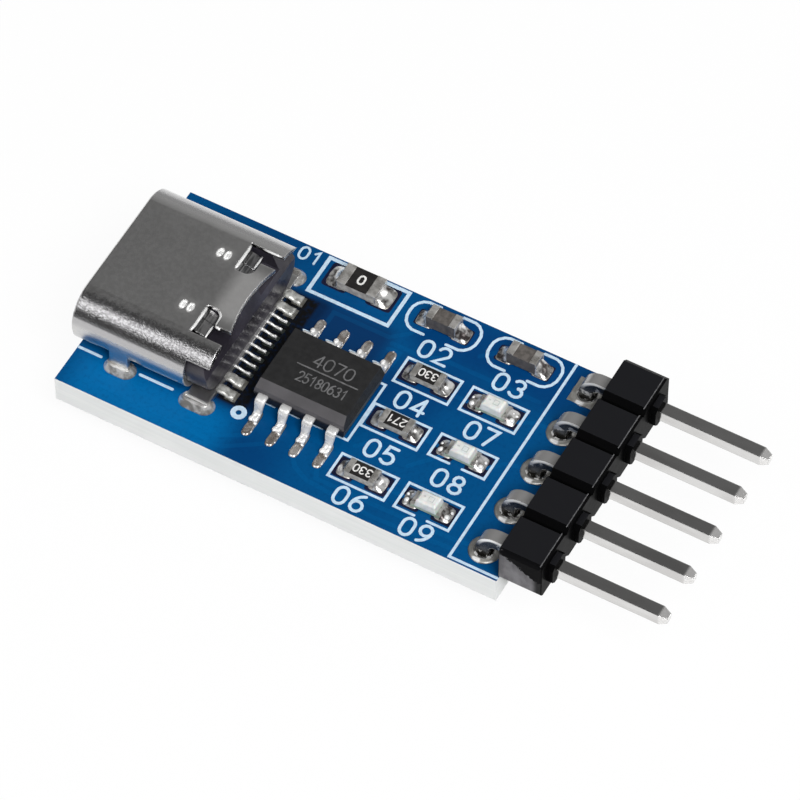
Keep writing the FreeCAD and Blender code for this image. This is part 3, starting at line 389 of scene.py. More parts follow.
def hole_material():
    """Bright solder in the pin holes with painted glint spots; on the board's top a duller ring
    with a painted glint in front.
    """
    m = Skin("pin_hole_solder")
    aside = m.math("WRAP", m.y, PIN_PITCH / 2, -PIN_PITCH / 2)
    along = m.minus(m.x, HOLE_X)
    dull = m.times(m.ramp(m.length(aside, along), 0.5, 0.58),
                   m.math("GREATER_THAN", m.z, BOARD_TOP - 0.2))
    tone = m.ramp(m.noise(2.2, 3.0, 0.6), 0.35, 0.65)
    bright = m.mix(tone, (0.55, 0.54, 0.52), (0.86, 0.85, 0.83))
    worn = m.mix(tone, (0.38, 0.37, 0.34), (0.58, 0.57, 0.54))
    # Painted glints: bright spots in the hole and a crescent on the ring's front
    spot = m.times(m.ramp(m.noise(3.2, 2.0), 0.54, 0.6), m.math("LESS_THAN", dull, 0.5))
    glint = m.times(m.ramp(aside, -0.54, -0.6),
                    m.ramp(m.math("ABSOLUTE", m.math("ADD", along, 0.12)), 0.26, 0.14), dull)
    shine = m.math("MAXIMUM", spot, glint)
    m.set(Base_Color=m.mix(shine, m.mix(dull, bright, worn), (0.95, 0.95, 0.94)))
    m.set(Metallic=m.minus(m.linear(dull, -0.25, 1.0), m.times(shine, 0.5)))
    m.set(Roughness=m.linear(dull, 0.22, 0.16))
    m.set(Normal=m.bump(m.noise(1.8, 2.0), 0.05, m.worn_edge(0.06)))
    return m.material


def plastic_material(name, low, high, rough, grain_scale, grain, shine, lump=None, edge=0.0):
    """Dark moulding with a fine grain; lump is the scale and depth of broader waves."""
    m = Skin(name)
    m.set(Base_Color=m.mix(m.ramp(m.noise(grain_scale * 0.3, 3.0), 0.3, 0.7), low, high))
    m.set(Roughness=m.ramp(m.noise(grain_scale, 3.0), 0.3, 0.7, *rough), Specular_IOR_Level=shine)
    normal = m.worn_edge(edge) if edge else None
    if lump:
        normal = m.bump(m.noise(lump[0], 2.0), lump[1], normal)
    m.set(Normal=m.bump(m.noise(grain_scale, 4.0, 0.6), grain, normal))
    return m.material


def epoxy_material():
    """Black moulding compound, fine grained, paler where its upper side slope catches the light."""
    m = Skin("chip_epoxy")
    middle = middle_of("chip_body")[2]
    tone = m.ramp(m.noise(3.6, 3.0), 0.3, 0.7)
    tone = m.mix(tone, (0.011, 0.011, 0.0115), (0.017, 0.017, 0.0175))
    slope = m.times(m.math("LESS_THAN", m.facing()[1], -0.5),
                    m.ramp(m.z, middle + 0.02, middle + 0.14),
                    m.ramp(m.noise(0.7, 2.0), 0.35, 0.65, 0.75, 1.0))
    m.set(Base_Color=m.mix(slope, tone, (0.082, 0.078, 0.084)), Specular_IOR_Level=0.42)
    m.set(Roughness=m.ramp(m.noise(12.0), 0.3, 0.7, 0.46, 0.58))
    m.set(Normal=m.bump(m.noise(12.0, 3.0), 0.005, m.worn_edge(0.05)))
    return m.material


def header_material():
    """Black moulding with soft waves; painted shade makes it deepest black on its sloping and
    standing faces.
    """
    m = Skin("header_plastic")
    level = m.ramp(m.facing()[2], 0.9, 0.97)
    m.set(Base_Color=m.mix(level, (0.0018, 0.0018, 0.002), (0.0078, 0.008, 0.0098)))
    m.set(Roughness=0.36, Specular_IOR_Level=m.linear(level, 0.27, 0.015))
    m.set(Normal=m.bump(m.noise(0.9, 2.0), 0.02, m.worn_edge(0.03)))
    return m.material


def torn_material():
    """The snapped end: rough pale plastic below a ragged line, black skin above it."""
    m = Skin("torn_plastic")
    from_left = m.minus(m.x, HOUSE_LOW[0])
    ragged = m.linear(m.noise(4.5, 4.0, 0.75), 1.1, -0.64)
    skin_depth = m.math("ADD", m.times(from_left, TEAR_SLOPE), ragged)
    depth = m.minus(HOUSE_HIGH[2], m.z)
    below = m.ramp(m.minus(depth, skin_depth), 0.1, 0.16)
    pale = m.ramp(m.noise(1.1, 4.0, 0.6, (1.0, 1.0, 0.5)), 0.35, 0.65)
    pale = m.mix(pale, (0.095, 0.093, 0.1), (0.185, 0.182, 0.192))
    pale = m.mix(m.ramp(from_left, 1.65, 2.05), pale, (0.012, 0.012, 0.0125))
    m.set(Base_Color=m.mix(below, (0.003, 0.003, 0.0035), pale), Roughness=0.62)
    m.set(Specular_IOR_Level=m.linear(below, 0.11, 0.04))
    m.set(Normal=m.bump(m.noise(4.0, 3.0), 0.02))
    return m.material


def lens_material():
    """Clear white resin."""
    m = Skin("indicator_lens")
    m.set(Base_Color=m.mix(m.ramp(m.noise(2.6, 3.0), 0.35, 0.65), (0.66, 0.68, 0.66),
                           (0.78, 0.79, 0.77)))
    m.set(Roughness=0.28, Subsurface_Weight=0.2, Subsurface_Scale=0.0002)
    m.set(Normal=m.bump(m.noise(2.0, 2.0), 0.03, m.worn_edge(0.08)))
    return m.material


def ceramic_material(name, low, high):
    """Matt ceramic with a fine mottle."""
    m = Skin(name)
    m.set(Base_Color=m.mix(m.ramp(m.noise(4.0, 4.0, 0.6), 0.35, 0.65), low, high))
    m.set(Roughness=m.ramp(m.noise(4.0), 0.3, 0.7, 0.4, 0.6))
    m.set(Normal=m.bump(m.noise(5.0, 3.0), 0.012, m.worn_edge(0.04)))
    return m.material


def print_material(name, color, rough=0.55, wear=0.86):
    """Printing ink; wear is the share of its brightness that is left where it has rubbed off."""
    m = Skin(name)
    worn = m.ramp(m.noise(4.0, 4.0, 0.6), 0.32, 0.6)
    m.set(Base_Color=m.mix(worn, tuple(c * wear for c in color), color), Roughness=rough)
    m.set(Normal=m.bump(m.noise(8.0, 3.0), 0.004))
    return m.material


# One material for each slot
MATERIALS = {
    "solder_mask": mask_material("solder_mask"),
    "shell_nickel": shell_material(),
    "black_moulding": plastic_material("black_moulding", (0.016, 0.014, 0.02),
                                       (0.045, 0.041, 0.055), (0.3, 0.4), 1.6, 0.012, 0.6,
                                       lump=(0.8, 0.05)),
    "header_plastic": header_material(),
    "chip_epoxy": epoxy_material(),
    "gold_contacts": metal_material("gold_contacts", (0.85, 0.6, 0.22), (0.95, 0.7, 0.3),
                                    2.0, 0.004, (0.15, 0.25)),
    "plated_pin": pin_material(),
    "tinned_lead": metal_material("tinned_lead", (0.74, 0.735, 0.73), (0.86, 0.855, 0.85),
                                  1.2, 0.02, (0.26, 0.36), 0.05, metal=0.4),
    "tinned_pad": metal_material("tinned_pad", (0.30, 0.28, 0.25), (0.50, 0.48, 0.45),
                                 1.4, 0.03, (0.3, 0.42), 0.0, metal=0.8),
    "solder": metal_material("solder", (0.07, 0.06, 0.058), (0.93, 0.92, 0.90),
                             1.3, 0.05, (0.16, 0.26), 0.06, 2.0, metal=0.65),
    "tinned_terminal": metal_material("tinned_terminal", (0.40, 0.385, 0.36), (0.74, 0.72, 0.69),
                                      1.3, 0.03, (0.26, 0.38), 0.06, metal=0.7),
    "black_coat": plastic_material("black_coat", (0.012, 0.011, 0.011), (0.02, 0.018, 0.017),
                                   (0.3, 0.45), 6.0, 0.004, 0.45, edge=0.02),
    "capacitor_ceramic": ceramic_material("capacitor_ceramic", (0.075, 0.068, 0.062),
                                          (0.125, 0.112, 0.103)),
    "indicator_lens": lens_material(),
    "indicator_base": ceramic_material("indicator_base", (0.36, 0.46, 0.36), (0.55, 0.62, 0.5)),
    "resistor_ceramic": ceramic_material("resistor_ceramic", (0.36, 0.33, 0.29),
                                         (0.56, 0.53, 0.48)),
}
# The nodes that have one of their own
OWN = {
    "header_solder": hole_material(),
    "usb_leg_solder": metal_material("leg_solder", (0.36, 0.35, 0.33), (0.95, 0.94, 0.92),
                                     1.6, 0.035, (0.16, 0.24), 0.08, 2.2, metal=0.6),
    "usb_tail_pads": tail_pad_material(),
    "usb_power_tails": metal_material("wide_tails", (0.34, 0.34, 0.32), (0.66, 0.66, 0.63),
                                      2.6, 0.03, (0.3, 0.4), 0.05, metal=0.5),
    "usb_signal_tails": metal_material("narrow_tails", (0.74, 0.74, 0.72), (0.90, 0.90, 0.88),
                                       1.6, 0.01, (0.26, 0.34), 0.05, metal=0.35),
}
# The pieces added below
SILK = print_material("silk_print", (0.57, 0.73, 0.87))
COAT_PRINT = print_material("coat_print", (0.80, 0.79, 0.77))
ETCH = print_material("chip_mark", (0.15, 0.15, 0.153), 0.62, 0.55)
TRACE = mask_material("covered_copper", 0.1)
# The mask openings round the small parts' pads, painted dark as shade
SHADED_OPENING = plastic_material("shaded_mask_opening", (0.004, 0.006, 0.024), (0.010, 0.010, 0.034),
                           (0.4, 0.55), 3.0, 0.004, 0.2)
# Solder drops painted near white as highlights
HIGHLIGHT_DROPS = metal_material("solder_highlight_drops", (0.86, 0.855, 0.85), (0.95, 0.945, 0.94),
                              1.6, 0.01, (0.25, 0.35), 0.0, metal=0.25)
TOE_SOLDER = metal_material("toe_solder", (0.30, 0.26, 0.23), (0.66, 0.63, 0.60),
                            1.5, 0.02, (0.22, 0.32), 0.0, metal=0.7)
# Rounded sheet edges and weld domes, painted near white as highlights
EDGE_HIGHLIGHT = metal_material("sheet_edge_highlights", (0.80, 0.80, 0.79), (0.95, 0.945, 0.94),
                      2.2, 0.01, (0.3, 0.4), 0.0, metal=0.3)
TORN = torn_material()
# A grey line painted along each header segment's ridge as a highlight
GLINT = print_material("ridge_highlight", (0.13, 0.13, 0.135), 0.4, 0.5)
DIE = print_material("lens_marks", (0.46, 0.48, 0.465), 0.3, 1.3)

for name, item in nodes.items():
    skin = OWN.get(name) or MATERIALS[SLOTS[name]]
    item.data.materials.clear()
    item.data.materials.append(skin)


# ---------------------------------------------------------------- mesh helpers
def vert(mesh, x, y, z):
    """A new vertex at a place in millimetres."""
    return mesh.verts.new(Vector((x, y, z)) * MM)


def sheet(mesh, rows):
    """Faces over rows of vertices."""
    for near, far in zip(rows, rows[1:]):
        for k in range(len(near) - 1):
            mesh.faces.new((near[k], near[k + 1], far[k + 1], far[k]))


def tube(mesh, rings):
    """Faces over rings of vertices, closed at both ends."""
    for ring, following in zip(rings, rings[1:]):
        for k in range(len(ring)):
            j = (k + 1) % len(ring)
            mesh.faces.new((ring[k], ring[j], following[j], following[k]))
    mesh.faces.new(rings[0][::-1])
    mesh.faces.new(rings[-1])


def heading(points, n):
    """The direction of a line at its point n."""
    return (points[min(n + 1, len(points) - 1)] - points[max(n - 1, 0)]).normalized()


def piece(name, mesh, material, smooth=True):
    """An object of the finished mesh, riding on the root."""
    bmesh.ops.recalc_face_normals(mesh, faces=mesh.faces[:])
    for face in mesh.faces:
        face.smooth = smooth
    data = bpy.data.meshes.new(name)
    mesh.to_mesh(data)
    mesh.free()
    item = bpy.data.objects.new(name, data)
    bpy.context.scene.collection.objects.link(item)
    data.materials.append(material)
    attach(item, "root")
    return item


# ---------------------------------------------------------------- printed strokes
CAP = 5  # points in a round end, without the two corners it joins
HAIR = 0.0004


def ribbon(mesh, points, width, base, top, closed):
    """One flat stroke with mitred corners and round ends, from height base up to top."""
    points = [Vector(p) for p in points]
    count = len(points)
    left, right = [], []
    for n, point in enumerate(points):
        before = points[n - 1] if n or closed else None
        after = points[(n + 1) % count] if n < count - 1 or closed else None
        ahead = (after - point).normalized() if after is not None else (point - before).normalized()
        behind = (point - before).normalized() if before is not None else ahead
        normal = Vector((-ahead.y - behind.y, ahead.x + behind.x)).normalized()
        reach = width / 2 / max(0.5, normal.dot(Vector((-ahead.y, ahead.x))))
        left.append(point + normal * reach)
        right.append(point - normal * reach)

    def cap(centre, along):
        """The points of a round end that looks along a direction."""
        start = math.atan2(along.y, along.x) + math.pi / 2
        turns = [start - math.pi * n / (CAP + 1) for n in range(1, CAP + 1)]
        return [centre + Vector((math.cos(a), math.sin(a))) * width / 2 for a in turns]

    def wall(ring):
        """The stroke's side along a ring of points; returns the upper vertices."""
        upper = [vert(mesh, *p, top) for p in ring]
        lower = [vert(mesh, *p, base) for p in ring]
        for n in range(len(ring)):
            k = (n + 1) % len(ring)
            mesh.faces.new((lower[n], lower[k], upper[k], upper[n]))
        return upper

    if closed:
        outer, inner = wall(right), wall(left)
        for n in range(count):
            k = (n + 1) % count
            mesh.faces.new((outer[n], outer[k], inner[k], inner[n]))
        return
    last, first = cap(points[-1], points[-1] - points[-2]), cap(points[0], points[0] - points[1])
    ring = wall(right + last[::-1] + left[::-1] + first[::-1])
    turn = count + CAP  # where the ring comes back along the left side
    ahead, back = ring[:count], ring[turn:turn + count][::-1]
    mesh.faces.new((ahead[-1], *ring[count:turn], back[-1]))
    mesh.faces.new((back[0], *ring[turn + count:], ahead[0]))
    for n in range(count - 1):
        mesh.faces.new((ahead[n], ahead[n + 1], back[n + 1], back[n]))


def printed(name, strokes, level, material, thick=0.014):
    """Strokes of (points, width, closed), each a hair higher than the last: none coincide."""
    mesh = bmesh.new()
    for n, (points, width, closed) in enumerate(strokes):
        ribbon(mesh, points, width, level, level + thick + HAIR * n, closed)
    return piece(name, mesh, material, smooth=False)


def arc(x, y, radius_x, radius_y, start, stop, steps=10):
    """Points on an ellipse about (x, y), between two angles in degrees."""
    angles = [math.radians(start + (stop - start) * n / steps) for n in range(steps + 1)]
    return [(x + radius_x * math.cos(a), y + radius_y * math.sin(a)) for a in angles]


# Digits drawn as pen strokes in a box 0.6 wide and 1 high; True closes a stroke
FIGURES = {
    "0": [(arc(0.3, 0.66, 0.3, 0.34, 0, 180, 8) + arc(0.3, 0.34, 0.3, 0.34, 180, 360, 8), True)],
    "1": [([(0.1, 0.76), (0.36, 1.0), (0.36, 0.0)], False)],
    "2": [(arc(0.3, 0.7, 0.3, 0.3, 165, -30, 8) + [(0.0, 0.0), (0.62, 0.0)], False)],
    "3": [(arc(0.28, 0.75, 0.27, 0.25, 150, -80, 8), False),
          (arc(0.28, 0.27, 0.32, 0.27, 85, -150, 9), False)],
    "4": [([(0.62, 0.27), (0.0, 0.27), (0.45, 1.0)], False), ([(0.45, 1.0), (0.45, 0.0)], False)],
    "5": [([(0.56, 1.0), (0.1, 1.0), (0.05, 0.55)] + arc(0.28, 0.31, 0.32, 0.31, 110, -145, 9),
           False)],
    "6": [(arc(0.3, 0.3, 0.3, 0.3, 0, 330, 11), True),
          (arc(0.66, 0.3, 0.66, 0.7, 170, 105, 6), False)],
    "7": [([(0.0, 1.0), (0.6, 1.0), (0.22, 0.0)], False)],
    "8": [(arc(0.3, 0.76, 0.25, 0.24, 0, 330, 11), True),
          (arc(0.3, 0.26, 0.3, 0.26, 0, 330, 11), True)],
    "9": [(arc(0.3, 0.7, 0.3, 0.3, 0, 330, 11), True),
          (arc(-0.06, 0.7, 0.66, 0.7, -10, -75, 6), False)],
}


def figures(text, x, y, height, pen, turn=0.0, gap=0.32, wide=1.0):
    """Strokes of a number about its middle (x, y), turned by degrees."""
    step = (0.6 * wide + gap) * height
    length = step * len(text) - gap * height
    cos, sin = math.cos(math.radians(turn)), math.sin(math.radians(turn))
    strokes = []
    for n, figure in enumerate(text):
        for points, closed in FIGURES[figure]:
            moved = []
            for px, py in points:
                dx = px * height * wide + n * step - length / 2
                dy = (py - 0.5) * height
                moved.append((x + dx * cos - dy * sin, y + dx * sin + dy * cos))
            strokes.append((moved, pen, closed))
    return strokes


def place(x, y):
    """A point measured from the board's corner, in this frame."""
    return x + EDGE_X, y + EDGE_Y


def line(pen, *points):
    """An open stroke through points measured from the board's corner."""
    return [place(*p) for p in points], pen, False


def boxed(pen, x0, y0, x1, y1):
    """A closed rectangle between two corners measured from the board's corner."""
    return [place(x0, y0), place(x1, y0), place(x1, y1), place(x0, y1)], pen, True


def bracket(x, side, pen=0.15):
    """The rounded half of a capacitor's outline; side is -1 at its left and 1 at its right."""
    bend = [(0.62, 10.72), (1.25, 10.72), (1.5, 10.82), (1.72, 11.05), (1.84, 11.35), (1.86, 11.65),
            (1.84, 11.95), (1.72, 12.22), (1.5, 12.43), (1.25, 12.52), (0.62, 12.52)]
    return line(pen, *[(x + side * dx, y) for dx, y in bend])


silk = [
    line(0.15, (0.06, 2.15), (1.28, 2.15)),
    line(0.15, (3.42, 2.15), (5.17, 2.15)),
    (arc(*place(8.57, 2.51), 0.27, 0.27, 0, 337.5, 15), 0.25, True),
    line(0.13, (13.2, 3.6), (13.82, 3.6), (13.82, 7.26), (13.45, 7.26)),
    boxed(0.19, 7.85, 10.35, 12.2, 12.55),
    boxed(0.13, 13.99, 7.67, 16.89, 9.2),
    boxed(0.13, 13.9, 4.67, 16.9, 6.1),
    boxed(0.13, 13.98, 1.42, 16.96, 2.84),
    boxed(0.13, 17.5, 7.73, 20.43, 9.2),
    line(0.13, (19.3, 4.75), (20.46, 4.75), (20.46, 6.1), (17.5, 6.1), (17.5, 4.75), (18.6, 4.75)),
    line(0.13, (19.3, 1.38), (20.4, 1.38), (20.4, 2.9), (17.53, 2.9), (17.53, 1.38), (18.6, 1.38)),
    line(0.14, (21.13, 12.66), (21.13, 0.16), (23.64, 0.16)),
]
for x in (14.55, 18.92):
    silk += [bracket(x, -1), bracket(x, 1)]
for x0, x1, y in ((9.39, 9.9, 3.6), (10.64, 11.21, 3.6), (11.89, 12.46, 3.6), (8.84, 9.26, 8.2),
                  (10.1, 10.51, 8.2), (11.36, 11.8, 8.2), (12.63, 13.0, 8.2)):
    silk.append(line(0.1, (x0, y), (x1, y)))
printed("silk_lines", silk, BOARD_TOP, SILK)

labels = figures("01", *place(6.95, 12.2), 0.72, 0.12)
for text, x, y in (("02", 14.93, 10.05), ("03", 18.93, 10.08), ("04", 15.39, 6.9),
                   ("05", 15.5, 3.77), ("06", 15.54, 0.72), ("07", 19.1, 6.95),
                   ("08", 19.06, 3.82), ("09", 19.09, 0.68)):
    labels += figures(text, *place(x, y), 0.98, 0.155)
printed("silk_labels", labels, BOARD_TOP, SILK)

TRACES = [
    [(12.9, 9.55), (14.6, 9.55), (15.3, 9.9), (20.6, 9.9)], [(12.9, 9.2), (13.5, 9.2), (13.5, 8.4)],
    [(9.6, 9.1), (9.6, 9.8), (12.6, 9.8), (13.3, 10.4), (14.0, 11.4)],
    [(16.9, 8.3), (17.6, 8.3)], [(16.9, 5.4), (17.6, 5.4)], [(16.9, 2.1), (17.6, 2.1)],
    [(20.3, 8.4), (20.9, 8.7), (22.1, 8.89)], [(20.3, 5.4), (20.9, 6.0), (22.1, 6.35)],
    [(13.0, 2.2), (13.6, 1.0), (17.2, 1.0), (21.0, 1.1), (22.1, 1.27)],
    [(11.7, 2.0), (12.4, 1.1), (13.2, 0.7), (16.9, 0.35), (21.3, 0.6)],
    [(6.4, 1.0), (8.4, 0.9), (9.6, 1.6), (9.6, 2.2)],
    [(2.2, 0.7), (6.0, 0.6), (8.8, 0.4), (10.6, 1.6)],
    [(16.9, 10.9), (17.6, 11.6)], [(14.3, 3.5), (15.0, 4.3)],
    [(17.0, 3.7), (17.6, 4.4), (18.3, 5.2)],
]
traces = [line(0.24, *points) for points in TRACES]
printed("covered_traces", traces, BOARD_TOP, TRACE, 0.001)

for n, text in ((1, "330"), (2, "271"), (3, "330")):
    coat = f"resistor_{n}_coat"
    value = figures(text, *middle_of(coat)[:2], 0.40, 0.068, turn=180, gap=0.24)
    printed(f"resistor_{n}_print", value, high_of(coat)[2], COAT_PRINT, 0.004)
zero = figures("0", *middle_of("link_coat")[:2], 0.5, 0.1)
printed("link_print", zero, high_of("link_coat")[2], COAT_PRINT, 0.004)
marks = figures("4070", CHIP_X + 0.45, CHIP_Y + 0.66, 0.68, 0.075, gap=0.2)
marks += figures("25180631", CHIP_X + 0.45, CHIP_Y - 0.5, 0.56, 0.07, gap=0.16, wide=0.72)
marks.append(([(CHIP_X - 1.2, CHIP_Y + 0.1), (CHIP_X + 2.0, CHIP_Y + 0.1)], 0.07, False))
printed("chip_print", marks, high_of("chip_body")[2], ETCH, 0.002)


# ---------------------------------------------------------------- solder and pads
# Heights of a dome from its middle (0) to its rim (1)
def mound(r):
    return max(0.0, 1 - r * r) ** 0.6


def dish(r):
    return 0.35 + 0.65 * math.exp(-((r - 0.76) / 0.15) ** 2)


def flat_top(r):
    return 1.0 if r < 0.9 else 0.6


def level_top(r):
    return 1.0


def dome(mesh, middle, half, base, height, profile=mound, square=2.0, lump=0.0, seed=0.0,
         spokes=22, rings=7):
    """A dome on an oval, or on a squarer outline where square is above 2; lump roughens it."""
    def corner(turn):
        return math.copysign(abs(turn) ** (2 / square), turn)

    rows = []
    for k in range(rings + 1):
        r = k / rings
        row = []
        for n in range(spokes if k else 1):
            turn = 2 * math.pi * n / spokes
            x = middle[0] + half[0] * r * corner(math.cos(turn))
            y = middle[1] + half[1] * r * corner(math.sin(turn))
            swell = 1 + lump * lumpy.noise(Vector((x * 3.1, y * 3.1, seed)))
            z = base + height * profile(r) * swell if k < rings else base - 0.01
            row.append(vert(mesh, x, y, z))
        rows.append(row)
    for n in range(spokes):
        k = (n + 1) % spokes
        mesh.faces.new((rows[0][0], rows[1][n], rows[1][k]))
        for inner, outer in zip(rows[1:], rows[2:]):
            mesh.faces.new((inner[n], outer[n], outer[k], inner[k]))


def fillet(mesh, x, y, side, length, half, base, height, seed, rows=9, columns=12):
    """Solder that climbs a part's end at x in a hollow curve and runs out over its pad."""
    grid = []
    for n in range(rows + 1):
        out = n / rows
        wide = half * max(0.02, 1 - out ** 4.5) ** 0.45
        row = []
        for k in range(columns + 1):
            across = 2 * k / columns - 1
            px, py = x + side * length * out, y + wide * across
            rim = n == rows or abs(across) == 1
            climb = (1 - out) ** 1.9 * (1 - 0.75 * abs(across) ** 2.5)
            swell = 0.05 * (1 - across * across) * (1 - out)
            lump = 0.035 * lumpy.noise(Vector((px * 2.6, py * 2.6, seed)))
            lift = -0.005 if rim else max(0.01, 0.02 + height * climb + swell + lump)
            row.append(vert(mesh, px, py, base + lift))
        grid.append(row)
    sheet(mesh, grid)


PAD_TOP = low_of("resistor_1_terminals")[2]
# Node, where its pads start and end from the part's middle, half their width, solder's height
# as a share of the terminal's, and the room between pad and mask, where the opening is painted dark
# as shade
ENDS = [(f"resistor_{n}_terminals", 0.42, 1.28, 0.475, 0.85, 0.2) for n in (1, 2, 3)]
ENDS += [(f"indicator_{n}_terminals", 0.42, 1.28, 0.475, 0.9, 0.2) for n in (1, 2, 3)]
ENDS += [(f"capacitor_{n}_terminals", 0.5, 1.42, 0.475, 0.75, 0.08) for n in (1, 2)]
ENDS += [("link_terminals", 0.6, 1.75, 0.65, 0.8, 0.2)]
# Drops on an indicator's solder, painted near white as highlights: out from the terminal, across,
# radius
END_SPOTS = ((0.25, -0.2, 0.15), (0.13, 0.18, 0.1), (0.36, 0.14, 0.08), (0.1, -0.05, 0.07))

fillets, spots = bmesh.new(), bmesh.new()
small_pads, openings = bmesh.new(), bmesh.new()
for n, (node, inner, outer, half, share, room) in enumerate(ENDS):
    low, high, (x, y, _) = low_of(node), high_of(node), middle_of(node)
    reach = (high[0] - low[0]) / 2
    pad_middle, pad_half = (inner + outer) / 2, (outer - inner) / 2
    for side in (-1, 1):
        dome(small_pads, (x + side * pad_middle, y), (pad_half, half), BOARD_TOP,
             PAD_TOP - BOARD_TOP, flat_top, square=4.5)
        dome(openings, (x + side * (pad_middle + 0.03), y), (pad_half + room, half + room),
             BOARD_TOP, 0.001, level_top, square=9.0)
        fillet(fillets, x + side * (reach - 0.03), y, side, outer - reach + 0.01, half, PAD_TOP,
               (high[2] - PAD_TOP) * share, n * 2.3 + side)
        if node.startswith("indicator"):
            for dx, dy, radius in END_SPOTS:
                dome(spots, (x + side * (reach + dx), y + dy), (radius, radius),
                     PAD_TOP + 0.03, radius)
small_solder = piece("small_part_fillets", fillets, MATERIALS["solder"])
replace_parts(small_solder, "small_part_solder")
piece("small_pad_shaded_openings", openings, SHADED_OPENING)
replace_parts(piece("small_rounded_pads", small_pads, MATERIALS["tinned_pad"]),
            "small_part_pads")


# ---------------------------------------------------------------- leads and tails
def eased(corners, reach, steps=6):
    """The points of a bent line with each corner rounded over a reach."""
    points = [Vector(corners[0])]
    for before, corner, after in zip(corners, corners[1:], corners[2:]):
        corner = Vector(corner)
        start = corner + (Vector(before) - corner).normalized() * reach
        stop = corner + (Vector(after) - corner).normalized() * reach
        for n in range(steps + 1):
            t = n / steps
            points.append(start * (1 - t) ** 2 + corner * 2 * t * (1 - t) + stop * t * t)
    return points + [Vector(corners[-1])]


def bent_lead(mesh, x, y, side, path, widths, thick, base, round_off=0.075):
    """A strip with rounded edges along a path of (distance, height) out from y."""
    rings = []
    for n, point in enumerate(path):
        along = heading(path, n)
        normal = Vector((-along.y, along.x))
        wide = widths(point.x) / 2
        ring = []
        for sx, sn in ((1, 1), (-1, 1), (-1, -1), (1, -1)):
            for turn in ((0, 45, 90) if sx == sn else (90, 45, 0)):
                a = sx * (wide - round_off + round_off * math.cos(math.radians(turn)))
                b = sn * (thick / 2 - round_off + round_off * math.sin(math.radians(turn)))
                spot = point + normal * b
                ring.append(vert(mesh, x + a, y + side * spot.x, base + spot.y))
        rings.append(ring)
    tube(mesh, rings)


def lead_width(reach):
    """Wide at the chip, narrow from the bend on."""
    share = min(1.0, max(0.0, (reach - 2.28) / 0.14))
    return 0.54 + (0.42 - 0.54) * share * share * (3 - 2 * share)


LEAD_BASE = low_of("chip_leads")[2]
LEAD_PATH = eased([(1.9, 0.85), (2.27, 0.85), (2.5, 0.1), (3.0, 0.1)], 0.2)
# Drops on a lead and its toe, painted near white as highlights: across, out from the chip's middle,
# radius
TOE_SPOTS = ((-0.06, 2.66, 0.105), (0.13, 2.74, 0.075), (-0.1, 2.93, 0.125), (0.13, 2.99, 0.09),
             (0.17, 3.25, 0.06), (0.18, 3.5, 0.07), (-0.02, 3.74, 0.08))

leads, toes, chip_pads = bmesh.new(), bmesh.new(), bmesh.new()
for n in range(LEADS):
    x = CHIP_X + (n - (LEADS - 1) / 2) * LEAD_PITCH
    for side in (-1, 1):
        bent_lead(leads, x, CHIP_Y, side, LEAD_PATH, lead_width, 0.2, LEAD_BASE)
        dome(chip_pads, (x, CHIP_Y + side * 3.01), (0.245, 0.8), BOARD_TOP, 0.034, flat_top,
             square=4.0, lump=0.1, seed=n)
        dome(toes, (x, CHIP_Y + side * 3.4), (0.24, 0.43), LEAD_BASE - 0.005, 0.075, dish,
             square=3.0, lump=0.2, seed=n + side)
        for dx, reach, radius in TOE_SPOTS:
            lift = 0.19 if reach < 2.95 else 0.0
            dome(spots, (x + dx, CHIP_Y + side * reach), (radius, radius * 1.2),
                 LEAD_BASE + lift, radius * 0.7)
bent = piece("chip_bent_leads", leads, MATERIALS["tinned_lead"])
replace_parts(bent, "chip_leads")
toe = piece("chip_toe_solder", toes, TOE_SOLDER)
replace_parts(toe, "chip_solder")
rounded = piece("chip_rounded_pads", chip_pads, MATERIALS["tinned_pad"])
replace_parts(rounded, "chip_pads")
piece("solder_highlight_drops", spots, HIGHLIGHT_DROPS)

TAIL_X, _, TAIL_BASE = low_of("usb_signal_tails")
TAIL_END = high_of("usb_signal_tails")[0]


def tail(mesh, y, width, thick):
    """A tail that leaves the housing low and steps down on its pad."""
    path = eased([(0.0, 0.2), (0.32, 0.2), (0.62, 0.08), (TAIL_END - TAIL_X, 0.08)], 0.12)
    outline = ((width / 2, -thick / 2), (width / 2, thick / 4), (width / 4, thick / 2),
               (-width / 4, thick / 2), (-width / 2, thick / 4), (-width / 2, -thick / 2))
    tube(mesh, [[vert(mesh, TAIL_X + point.x, y + a, TAIL_BASE + point.y + b) for a, b in outline]
                for point in path])


tails, wide_tails, tail_dots = bmesh.new(), bmesh.new(), bmesh.new()
for n in range(TAILS):
    y = (n - (TAILS - 1) / 2) * TAIL_PITCH
    tail(tails, y, 0.12, 0.14)
    # Drops on each tail, painted near white as highlights
    for x, z, radius in ((TAIL_X + 0.16, 0.24, 0.075), (TAIL_X + 0.62, 0.12, 0.06),
                         (TAIL_END - 0.08, 0.12, 0.075)):
        dome(tail_dots, (x, y), (radius, radius), TAIL_BASE + z, radius * 0.8, spokes=10, rings=4)
for y in (-3.2, -2.4, 2.4, 3.2):
    tail(wide_tails, y, 0.5, 0.16)
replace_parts(piece("signal_tail_strips", tails, OWN["usb_signal_tails"]),
            "usb_signal_tails")
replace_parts(piece("power_tail_strips", wide_tails, OWN["usb_power_tails"]),
            "usb_power_tails")
piece("tail_solder_highlight_drops", tail_dots, HIGHLIGHT_DROPS)


